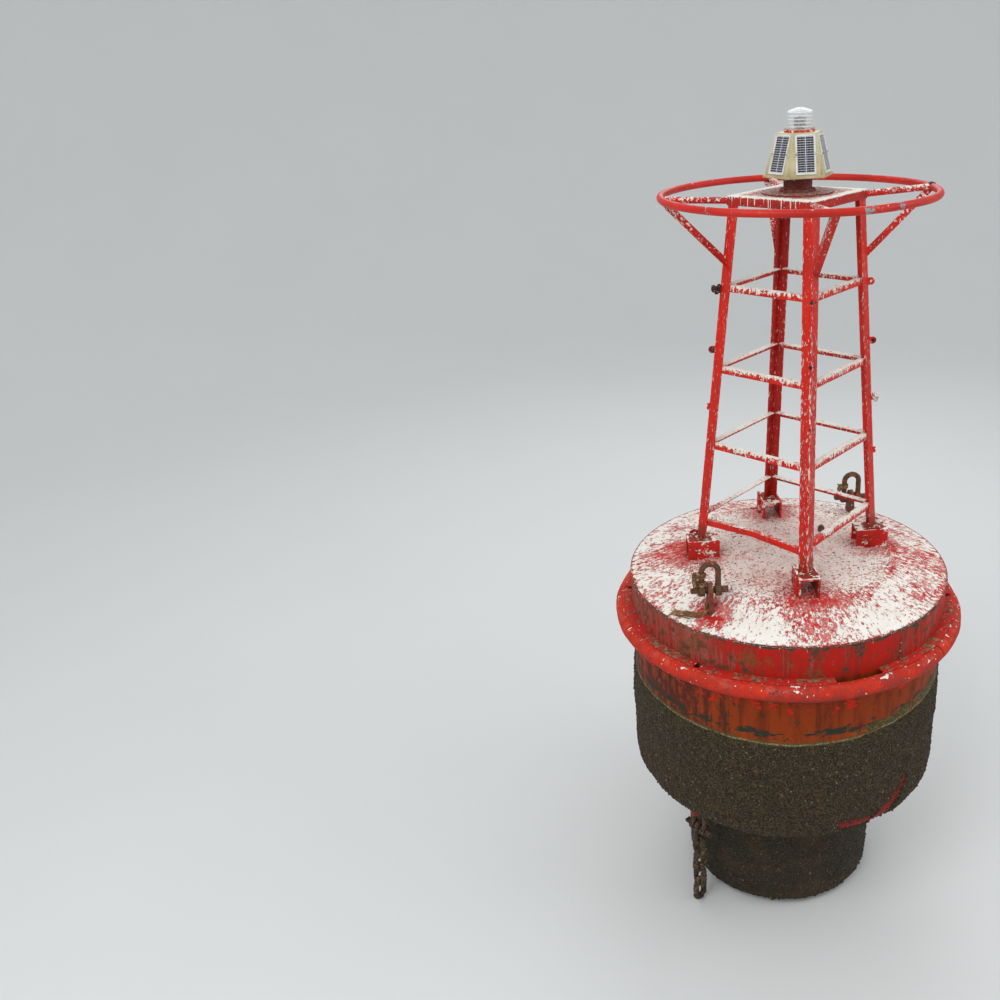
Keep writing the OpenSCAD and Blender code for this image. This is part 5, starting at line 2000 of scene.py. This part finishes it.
    def _tail_crust(self) -> Piece:
        """Spins the crusts round the ballast and the tail tube."""
        skins = []
        spans = ((BALLAST_R, BALLAST_Z, BALLAST_TOP), (TAIL_R, BALLAST_TOP, BOTTOM_IN_Z))
        for i, (radius, low, high) in enumerate(spans):
            rings = int((high - low) / (self.pitch * 1.1))
            outer = [(radius, low + (high - low) * k / rings) for k in range(rings + 1)]
            profile = outer + [(radius - 0.03, high), (radius - 0.03, low)]
            skins.append(Bench.revolve(f"tail_skin_{i}", profile, 330))

        def grow(place: Vector, normal: Vector) -> Vector:
            """Raises the outer faces."""
            radius = math.hypot(place.x, place.y)
            if min(abs(radius - BALLAST_R), abs(radius - TAIL_R)) > 0.002:
                return Vector()
            outward = Vector((place.x, place.y, 0.0)) / radius
            ribs = noise.noise(Vector((place.x * 9.0, place.y * 9.0, place.z * 1.2))) * 0.006
            return outward * min(max(self._lumps(place) + ribs, 0.004), 0.026)

        tail = Bench.join("tail_crust", skins)
        Bench.nudge(tail, grow)
        return Bench.smooth(tail, 70.0)

    def _shells(self, name: str, crust: Piece, count: int, seed: int) -> Piece:
        """Sets small shells into a crust.

        Args:
            name: Name of the piece.
            crust: The crust that carries them.
            count: How many are tried. Those that would sit on bare plate are left out.
            seed: Seed of the places.

        Returns:
            All the shells as one piece.
        """
        rng = random.Random(seed)
        shell = self.shell()
        mesh = crust.data
        total = len(mesh.vertices)
        places, tints = [], []
        for _ in range(count):
            corner = mesh.vertices[rng.randrange(total)]
            radius = math.hypot(corner.co.x, corner.co.y)
            size = rng.uniform(0.005, 0.0105)
            if corner.normal.z > 0.8 or corner.normal.dot(corner.co.normalized()) < -0.2:
                continue
            if radius > HULL_R - 0.02 and self._cover(corner.co) < 0.7 or radius < TAIL_R:
                continue
            spin = Matrix.Rotation(rng.uniform(0.0, math.tau), 4, "Z")
            places.append(self.seat(corner, spin, size, (0.7, 1.3), 0.002, rng))
            tints.append(rng.random())
        return Bench.scatter(name, shell, places, tints)

    @staticmethod
    def seat(corner: bpy.types.MeshVertex, spin: Matrix, size: float, tall: tuple[float, float],
             sunk: float, rng: random.Random) -> Matrix:
        """Gives the place of one shell.

        Args:
            corner: Corner of the mesh that carries it.
            spin: Its turn about its own axis.
            size: Its width.
            tall: Least and most height, as shares of its width.
            sunk: How far its foot is sunk in.
            rng: Source of its tilt and proportions.

        Returns:
            Its place, turn and size.
        """
        out = corner.normal.to_track_quat("Z", "Y").to_matrix().to_4x4()
        tilt = Matrix.Rotation(rng.uniform(-0.5, 0.5), 4, "X")
        shape = Matrix.Diagonal((size, size * rng.uniform(0.6, 1.0), size * rng.uniform(*tall), 1.0))
        return Matrix.Translation(corner.co - corner.normal * sunk) @ out @ spin @ tilt @ shape

    @staticmethod
    def shell() -> Piece:
        """Models one barnacle: a steep cone with a sunken mouth."""
        Bench.clear()
        bpy.ops.mesh.primitive_cylinder_add(vertices=7, radius=1.0, depth=1.0, location=(0.0, 0.0, 0.5))
        shell = bpy.context.object
        with Bench.editing():
            Bench.pick_top(shell)
            bpy.ops.transform.resize(value=(0.55, 0.55, 1.0))
            bpy.ops.mesh.inset(thickness=0.16, depth=-0.35)
        return shell


@dataclass
class Tail:
    """Tube, brackets, ballast and rods under the hull."""

    def build(self) -> None:
        """Dresses the tube and the ballast, and models the brackets' worn edges."""
        for node in ("tail_tube", *(f"ballast_layer_{i}" for i in range(1, 8))):
            Bench.repaint(node, TailCrust())
        Bench.rework("bracket_plates", "tail_brackets", Slot.TAIL, [TailCrust()], 0.003, 1, 0.0)
        Bench.rework("rod_bars", "tie_rods", Slot.RUST, [RustyIron("rod_iron")], 0.002, 1, 35.0)


@dataclass
class Tower:
    """Feet, legs, girts and ears.

    Attributes:
        round_r: Radius of the rolled edges of the angle bars.
        foot_round_r: Radius of the feet's plate edges.
        ear_rise: Height of a leg's lowest daymark ear above the deck edge.
        ear_pitch: Height from one ear to the next.
        heel_r: Radius of the legs' heels at the height of the deck edge.
        batter: How far the heels lean inwards, per metre of height.
        ear_out: From the heel to an ear's middle.
    """

    round_r: float = 0.0022
    foot_round_r: float = 0.003
    ear_rise: float = 1.305
    ear_pitch: float = 0.412
    heel_r: float = 0.713
    batter: float = 0.096337
    ear_out: float = 0.024

    def build(self) -> None:
        """Makes the tower's bars from the frame's, with rolled and rusting edges."""
        for side in LEG_DEG:
            Bench.rework(f"{side}_leg_bar", f"leg_{side}", Slot.RED, [LegPaint(), EdgeRust()], self.round_r)
            Bench.rework(f"{side}_foot_plates", f"foot_{side}", Slot.RED,
                         [FootPaint(), EdgeRust("foot_edge_rust", 0.7)], self.foot_round_r)
        for i in range(1, 5):
            Bench.rework(f"girt_bars_{i}", f"girts_{i}", Slot.RED, [GirtPaint(), EdgeRust()], self.round_r)
        self._scraps()

    def _scraps(self) -> None:
        """Hangs torn scraps of old fastenings on the ears."""
        tape, lime = BlackTape(), LimeCrust()
        rows = (("left", 2, 0.030, tape), ("left", 1, 0.018, tape), ("front", 2, 0.016, tape),
                ("front", 1, 0.016, tape), ("front", 0, 0.014, tape), ("right", 0, 0.028, lime),
                ("right", 1, 0.016, tape), ("back", 1, 0.018, tape))
        for side, ear, size, finish in rows:
            rise = self.ear_rise + self.ear_pitch * ear
            heel = self.heel_r - self.batter * rise
            centre = polar(heel + self.ear_out, LEG_DEG[side], DECK_Z + rise + 0.002)
            scrap = self._scrap(f"{side}_ear_scrap_{ear}", centre, size, ear + len(side))
            Bench.dress(scrap, Slot.RUST, [finish])

    @staticmethod
    def _scrap(name: str, centre: Vector, size: float, seed: int) -> Piece:
        """Models one torn scrap wrapped over an ear."""
        Bench.clear()
        bpy.ops.mesh.primitive_ico_sphere_add(subdivisions=3, radius=size, location=centre)
        scrap = Bench.settle(name)
        shift = Vector((seed * 3.1, seed * 1.7, seed * 0.9))
        Bench.nudge(scrap, lambda place, normal: normal * size * 0.8 * noise.fractal(
            (place - centre) / size * 1.1 + shift, 0.7, 2.2, 4))
        return Bench.smooth(scrap, 25.0)


@dataclass
class Top:
    """Lantern platform, hoop, spokes and braces.

    Attributes:
        pipe_r: Radius of the guard hoop's pipe.
        hoop_r: Radius of the hoop.
        hoop_z: Height of its middle.
        taped: Azimuth, width and thickness of each band of tape.
    """

    pipe_r: float = 0.024
    hoop_r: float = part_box("guard_hoop")[1].x - pipe_r
    hoop_z: float = PLATFORM_Z - 0.006
    taped: tuple[tuple[float, float, float], ...] = ((90.0, 2.6, 0.004), (0.5, 2.2, 0.004))

    def build(self) -> None:
        """Makes the platform, the hoop, its spokes and its braces."""
        Bench.rework("platform_plate", "lantern_platform", Slot.RED, [PlatformPaint()], 0.003)
        self._hoop()
        Bench.rework("spoke_pipes", "hoop_spokes", Slot.RED, [SpokePaint()], shade=35.0)
        Bench.rework("brace_bars", "hoop_braces", Slot.RED, [SpokePaint("brace_paint", from_r=0.45)],
                     0.0018, 1, weld=2e-5)

    def _circle(self, grow: float) -> list[tuple[float, float]]:
        """Gives the pipe's section, grown a little."""
        return section(self.hoop_r, self.hoop_z, self.pipe_r + grow, range(0, 360, 18))

    def _hoop(self) -> None:
        """Spins the hoop, rolled a little out of true, and its bands of tape."""
        hoop = Bench.revolve("hoop_pipe", self._circle(0.0), 240)

        def true(place: Vector, _: Vector) -> Vector:
            """Bends the hoop by what rolling by hand leaves."""
            outward = Vector((place.x, place.y, 0.0)).normalized()
            lift = noise.noise(outward * 1.7) * 0.004
            return outward * noise.noise(outward * 2.2) * 0.004 + Vector((0.0, 0.0, lift))

        Bench.nudge(hoop, true)
        Bench.lumps(hoop, 0.02, 0.0012)
        Bench.dress(hoop, Slot.RED, [HoopPaint()], ["guard_hoop"], 50.0)
        bands = []
        for i, (middle, width, thick) in enumerate(self.taped):
            band = Bench.revolve(f"tape_band_{i}", self._circle(thick), 8, middle - width / 2, width)
            Bench.lumps(band, 0.012, 0.006)
            bands.append(band)
        tape = Bench.join("hoop_tape", bands)
        Bench.dress(tape, Slot.RUST, [BlackTape()], shade=40.0)


@dataclass
class Lantern:
    """Solar lantern on its neck.

    Attributes:
        housing_z: Height of the housing's underside.
        lip_t: Height of its lip.
        base_r: Radius of its corners at the base.
        top_r: Radius of its corners at the top.
        height: Height of its sloping sides.
        turn_deg: Azimuth of its first corner.
        panel_w: Width of a solar panel.
        panel_l: Length of a solar panel.
        panel_t: Thickness of a solar panel.
        lens_z: Height of the lens's foot.
        lens_r: Radius of the lens.
        lens_h: Height of its ribbed side.
        lens_wall: Wall of the lens.
        ribs: Ribs of the lens.
        dome_h: Rise of its cap.
        bezel_finishes: Finishes of a panel's frame and of its screws.
    """

    housing_z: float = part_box("lantern_housing")[0].z + 0.008
    lip_t: float = 0.014
    base_r: float = 0.228
    top_r: float = 0.149
    height: float = 0.250
    turn_deg: float = 2.0
    panel_w: float = 0.130
    panel_l: float = 0.240
    panel_t: float = 0.008
    lens_z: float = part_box("lantern_lens")[0].z
    lens_r: float = 0.082
    lens_h: float = 0.104
    lens_wall: float = 0.006
    ribs: int = 5
    dome_h: float = 0.026
    bezel_finishes: tuple[Finish, ...] = (BezelPlastic(), BlackTape("clip_screw"))

    def build(self) -> None:
        """Makes the lantern from its neck to its spike."""
        Bench.rework("neck_castings", "lantern_pedestal", Slot.PEDESTAL, [PedestalPaint()], 0.002)
        Bench.rework("housing_shell", "lantern_housing", Slot.HOUSING,
                     [HousingPlastic(base_z=self.housing_z)], 0.003, 3, sharp=20.0, weld=2e-5)
        self._panels()
        self._lens_ring()
        self._lens()
        self._leds()
        self._spike()

    def _panel_place(self, degrees: float) -> Matrix:
        """Gives the place of a panel's lower middle, with Z out of its face and Y up it."""
        slope = math.atan((self.base_r - self.top_r) * math.cos(math.radians(30.0)) / self.height)
        slant = self.height / math.cos(slope)
        inner_r = self.base_r * math.cos(math.radians(30.0))
        foot = Matrix.Translation((inner_r, 0.0, self.housing_z + self.lip_t))
        lean = Matrix.Rotation(-slope, 4, "Y")
        lift = Matrix.Translation((0.0, 0.0, (slant - self.panel_l) / 2))
        face = Matrix(((0, 0, 1, 0), (1, 0, 0, 0), (0, 1, 0, 0), (0, 0, 0, 1)))
        return Matrix.Rotation(math.radians(degrees), 4, "Z") @ foot @ lean @ lift @ face

    def _panels(self) -> None:
        """Models one panel and copies it to the six sides."""
        frame_piece = self._bezel()
        cells = self._cells()
        frames, glasses = [], []
        for i, degrees in enumerate(range(30, 360, 60)):
            place = self._panel_place(self.turn_deg + degrees)
            frames.append(Bench.twin(frame_piece, f"bezel_{i}", place))
            glasses.append(Bench.twin(cells, f"cells_{i}", place))
        bpy.data.objects.remove(frame_piece)
        bpy.data.objects.remove(cells)
        bezels = Bench.join("panel_bezels", frames)
        Bench.dress(bezels, Slot.HOUSING, self.bezel_finishes, ["solar_panels"], 30.0)
        glass = Bench.join("panel_cells", glasses)
        Bench.dress(glass, Slot.CELLS, [CellSilicon()])

    def _bezel(self) -> Piece:
        """Models a panel's white frame with its two clips and their screws."""
        half, length, thick = self.panel_w / 2, self.panel_l, self.panel_t
        bezel = Bench.block("bezel", (0.0, length / 2, thick / 2), (2 * half, length, thick))
        with Bench.editing():
            Bench.pick_top(bezel)
            bpy.ops.mesh.inset(thickness=0.010, depth=0.0)
            bpy.ops.mesh.bevel(offset=0.016, segments=1, affect="VERTICES")
            bpy.ops.mesh.inset(thickness=0.0015, depth=-0.0035)
        pieces = [bezel]
        for side in (-1, 1):
            pieces.append(Bench.disc("clip", 24, 0.011, thick, (side * half, length / 2, thick / 2)))
            screw = Bench.disc("screw", 12, 0.0035, 0.003,
                               (side * (half + 0.004), length / 2, thick + 0.0005))
            screw.data.polygons.foreach_set("material_index", [1] * len(screw.data.polygons))
            pieces.append(screw)
        for piece in pieces:
            for finish in self.bezel_finishes:
                piece.data.materials.append(made(finish))
        Bench.bevel(bezel, 0.001, 1, 50.0)
        return Bench.join("bezel", pieces)

    def _cells(self) -> Piece:
        """Models the glass over the cells, mapped from 0 to 1 across and up the panel."""
        rim = 0.0125
        half, length = self.panel_w / 2 - rim, self.panel_l
        cells = Bench.block("cells", (0.0, length / 2, self.panel_t - 0.004),
                            (2 * half, length - 2 * rim, 0.002))
        with Bench.editing():
            edit = bmesh.from_edit_mesh(cells.data)
            for edge in edit.edges:
                a, b = edge.verts
                edge.select_set(abs(a.co.z - b.co.z) > 0.001)
            bmesh.update_edit_mesh(cells.data)
            bpy.ops.mesh.bevel(offset=0.0155, segments=1, affect="EDGES")
        maps = cells.data.uv_layers
        layer = maps[0] if maps else maps.new(name="panel")
        layer.name = "panel"
        for loop in cells.data.loops:
            corner = cells.data.vertices[loop.vertex_index].co
            layer.data[loop.index].uv = (corner.x / self.panel_w + 0.5, corner.y / self.panel_l)
        return cells

    def _lens_ring(self) -> None:
        """Spins the ring under the lens and sets the clips on it."""
        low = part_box("lens_ring")[0].z
        r, high = self.lens_r, low + 0.014
        profile = [(r * 0.5, low), (r + 0.017, low), (r + 0.017, high - 0.004), (r + 0.012, high),
                   (r * 0.5, high)]
        ring = Bench.revolve("ring_band", profile, 72)
        Bench.dress(ring, Slot.LENS_RING, [RingPaint()], ["lens_ring"], 30.0)
        tabs = Bench.blocks("ring_tab", 9, (r + 0.0095, 0.0, high + 0.0030), (0.012, 0.014, 0.009), 0.002, 2)
        Bench.dress(Bench.join("ring_clips", tabs), Slot.HOUSING, [ClipPlastic()])

    def _lens(self) -> None:
        """Spins the lens: ribbed side, eave, shallow cone cap and inner wall."""
        z, r = self.lens_z, self.lens_r
        pitch = self.lens_h / self.ribs
        side = []
        for i in range(self.ribs):
            side += [(r - 0.003, z + i * pitch), (r, z + (i + 0.25) * pitch),
                     (r, z + (i + 0.75) * pitch)]
        side.append((r - 0.003, z + self.lens_h))
        eave, peak = z + self.lens_h, z + self.lens_h + self.dome_h
        cap = [(r * 0.97, eave + 0.003), (r * 0.80, eave + 0.010), (r * 0.30, peak - 0.003), (0.0, peak)]
        inner_r = r - self.lens_wall
        inner = [(0.0, peak - self.lens_wall), (inner_r * 0.8, eave + 0.004), (inner_r, eave - 0.004),
                 (inner_r, z)]
        lens = Bench.revolve("lens_shell", side + cap + inner, 72)
        Bench.dress(lens, Slot.LENS, [LensPlastic(foot_z=z)], ["lantern_lens"], 28.0)

    def _leds(self) -> None:
        """Models the light array: discs on a core, between upright heat sinks."""
        z, r, h = self.lens_z, self.lens_r, self.lens_h
        core = [(0.0, z), (r * 0.5, z), (r * 0.5, z + 0.006), (r * 0.16, z + 0.010)]
        for i in range(1, 5):
            level = z + i * h * 0.16
            core += [(r * 0.16, level), (r * 0.42, level), (r * 0.42, level + 0.004),
                     (r * 0.16, level + 0.004)]
        core += [(r * 0.16, z + h * 0.74), (0.0, z + h * 0.75)]
        array = Bench.revolve("led_core_stack", core, 40, closed=False)
        fins = Bench.blocks("led_fin", 10, (r * 0.31, 0.0, z + h * 0.40), (r * 0.30, 0.0025, h * 0.56),
                            0.0006, 1)
        leds = Bench.join("led_stack", [array, *fins])
        Bench.dress(leds, Slot.LEDS, [LedOptics()], ["led_array"], 30.0)

    def _spike(self) -> None:
        """Draws the thin bird spike in its collar."""
        low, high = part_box("bird_spike")[0].z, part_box("bird_spike")[1].z
        knots = [(0.0, 0.0, low), (0.0004, 0.0, (low + high) / 2), (0.001, 0.0006, high)]
        wire = Bench.tube("spike_wire", knots, 0.0016, 1, taper=(1.0, 0.8, 0.35))
        profile = [(0.0, low - 0.001), (0.006, low - 0.001), (0.0055, low + 0.002), (0.0, low + 0.004)]
        collar = Bench.revolve("spike_collar", profile, 16, closed=False)
        spike = Bench.join("bird_wire", [wire, collar])
        Bench.dress(spike, Slot.SPIKE, [BareWire()], ["bird_spike"], 40.0)


@dataclass
class Rigging:
    """Shackles, chain and old lashings.

    Attributes:
        voxel: Grid of the pitted iron.
        pit: Depth of the pits.
        sunk: Finish of the iron that hangs under water.
        chain_tries: How many shells are tried on the chain.
        shells_z: Height above which the chain carries none.
        pin_r: Radius at which the lifting shackles' pins lie.
        pin_z: Height of the pins.
        leg_dx: From a pin's middle to the bow's left leg.
    """

    voxel: float = 0.0045
    pit: float = 0.0035
    chain_tries: int = 2400
    shells_z: float = 0.70
    pin_r: float = 0.975
    pin_z: float = 3.038
    leg_dx: float = -0.058
    sunk: RustyIron = RustyIron("sunk_iron", 0.2, 0.2, 1.0)

    def build(self) -> None:
        """Makes the pitted shackles, the chain and the lashings."""
        rows = (("shackle_left", RustyIron()), ("shackle_right", RustyIron()),
                ("mooring_shackle", self.sunk))
        for body, finish in rows:
            for part in ("bow", "pin"):
                self._iron(f"{body}_{part}_iron", f"{body}_{part}", body, finish, self.pit)
        chain = self._iron("chain_iron_links", "mooring_chain", "mooring_chain", self.sunk, 0.010, 0.3)
        self._chain_shells(chain)
        self._lashings()
        self._deck_rope()

    def _iron(self, name: str, node: str, body: str, finish: Finish, pit: float,
              mid: float = 0.55) -> Piece:
        """Rebuilds one forged piece with pits of a depth."""
        iron = Bench.cad_copy(name, node)
        Bench.remesh(iron, self.voxel)
        Bench.lumps(iron, 0.022, pit, mid=mid)
        Bench.dress(iron, Slot.RUST, [finish], [node], 60.0, body=body)
        return iron

    def _chain_shells(self, chain: Piece) -> None:
        """Sets clumps of shells on the chain, below the shackle and off the side that faces the tail."""
        rng = random.Random(31)
        shell = Growth.shell()
        corners = chain.data.vertices
        places, tints = [], []
        for _ in range(self.chain_tries):
            corner = corners[rng.randrange(len(corners))]
            outward = corner.normal.dot(Vector((corner.co.x, corner.co.y, 0.0)))
            clumped = noise.noise(corner.co * 13.0) > rng.uniform(-0.5, 0.25)
            if not clumped or corner.co.z > self.shells_z or outward < -0.3:
                continue
            size = rng.uniform(0.006, 0.016)
            places.append(Growth.seat(corner, Matrix(), size, (0.6, 1.1), 0.003, rng))
            tints.append(rng.uniform(0.15, 1.0))
        shells = Bench.scatter("chain_shells", shell, places, tints)
        Bench.dress(shells, Slot.GROWTH, [ShellTint()], body="mooring_chain")

    def _lashings(self) -> None:
        """Winds old rope round a leg of each lifting shackle, with frayed ends."""
        rows = (("left", 225.0, 3, ((0.120, 0.046, 30), (0.052, 0.034, 18))),
                ("right", 45.0, 8, ((0.100, 0.034, 22),)))
        for side, degrees, seed, tufts in rows:
            rng = random.Random(seed)
            leg = polar(self.pin_r, degrees, self.pin_z) + Vector((self.leg_dx, 0.0, 0.0))
            wraps = []
            for height, reach, count in tufts:
                wraps.append(self._wrap(f"{side}_wrap_{count}", rng, leg + Vector((0.0, 0.0, height))))
                for i in range(count):
                    root = leg + Vector((-0.020, rng.uniform(-0.018, 0.018),
                                         height + rng.uniform(-0.016, 0.016)))
                    hang = rng.uniform(0.06, 0.13) if i % 3 == 0 else rng.uniform(-0.01, 0.03)
                    wraps.append(self._strand(f"{side}_fray_{count}_{i}", rng, root, reach, hang))
            lashing = Bench.join(f"{side}_lashing", wraps)
            Bench.dress(lashing, Slot.RUST, [OldRope()], shade=60.0, body=f"shackle_{side}")

    @staticmethod
    def _wrap(name: str, rng: random.Random, middle: Vector) -> Piece:
        """Winds three turns of rope round a shackle's leg."""
        points = []
        for i in range(31):
            a, radius = math.tau * i / 10, 0.0265 + rng.uniform(-0.002, 0.002)
            points.append(middle + Vector((math.cos(a) * radius, math.sin(a) * radius,
                                           0.0012 * (i - 15) + rng.uniform(-0.002, 0.002))))
        return Bench.tube(name, points, 0.0060, 1)

    @staticmethod
    def _strand(name: str, rng: random.Random, root: Vector, reach: float, hang: float) -> Piece:
        """Curls one strand out of its root and lets its end hang."""
        out = Vector((rng.uniform(-1.0, -0.3), rng.uniform(-0.8, 0.8), rng.uniform(-0.3, 0.5))).normalized()
        knots = [root]
        for k in range(1, 6):
            share = k / 5
            curl = Vector([rng.uniform(-0.007, 0.007) for _ in range(3)])
            knots.append(root + out * reach * math.sin(share * 2.2) + curl
                         + Vector((0.0, 0.0, -hang * share * share)))
        return Bench.tube(name, knots, rng.uniform(0.0018, 0.0042), 0, taper=(1.0, 1.0, 0.9, 0.8, 0.6, 0.3))

    @staticmethod
    def _deck_rope() -> None:
        """Lays a frayed rope's end from the left lifting eye's foot across the deck, and up the eye."""
        rng = random.Random(21)
        spine = ((-0.712, -0.772, 0.034), (-0.768, -0.768, 0.020), (-0.822, -0.738, 0.006),
                 (-0.872, -0.700, 0.005), (-0.930, -0.662, 0.005), (-0.962, -0.640, 0.005))
        strands = []
        for i in range(22):
            first, last = rng.choice(((0, 4), (0, 4), (1, 5), (2, 6), (2, 6)))
            aside = rng.gauss(0.0, 0.012)
            knots = []
            for k, (x, y, lift) in enumerate(spine[first:last]):
                x += aside * 0.6 + rng.uniform(-0.008, 0.008)
                y += aside + rng.uniform(-0.010, 0.010)
                knots.append(Vector((x, y, deck_height(math.hypot(x, y)) + lift + rng.uniform(0.0, 0.006))))
            strands.append(Bench.tube(f"deck_strand_{i}", knots, rng.uniform(0.0018, 0.0048), 0,
                                      taper=tuple([1.0] * (len(knots) - 1) + [0.5])))
        for i in range(14):
            x, y = -0.716 + rng.uniform(-0.010, 0.004), -0.745 + rng.uniform(-0.016, 0.012)
            low = deck_height(math.hypot(x, y)) + 0.004
            knots = [Vector((x + rng.uniform(-0.008, 0.004), y + rng.uniform(-0.008, 0.008),
                             low + 0.085 * (1.0 - k / 4) * rng.uniform(0.8, 1.0))) for k in range(5)]
            strands.append(Bench.tube(f"flank_strand_{i}", knots, rng.uniform(0.0022, 0.0050), 0))
        rope = Bench.join("deck_rope", strands)
        Bench.dress(rope, Slot.RUST, [OldRope()], shade=60.0)


def main() -> None:
    """Builds every sub-assembly in order."""
    logging.basicConfig(level=logging.INFO, format="%(message)s")
    for part in (Studio(), Hull(), Fender(), Growth(), Tail(), Tower(), Top(), Lantern(), Rigging()):
        log.info("building %s", type(part).__name__)
        part.build()


if __name__ == "__main__":
    main()
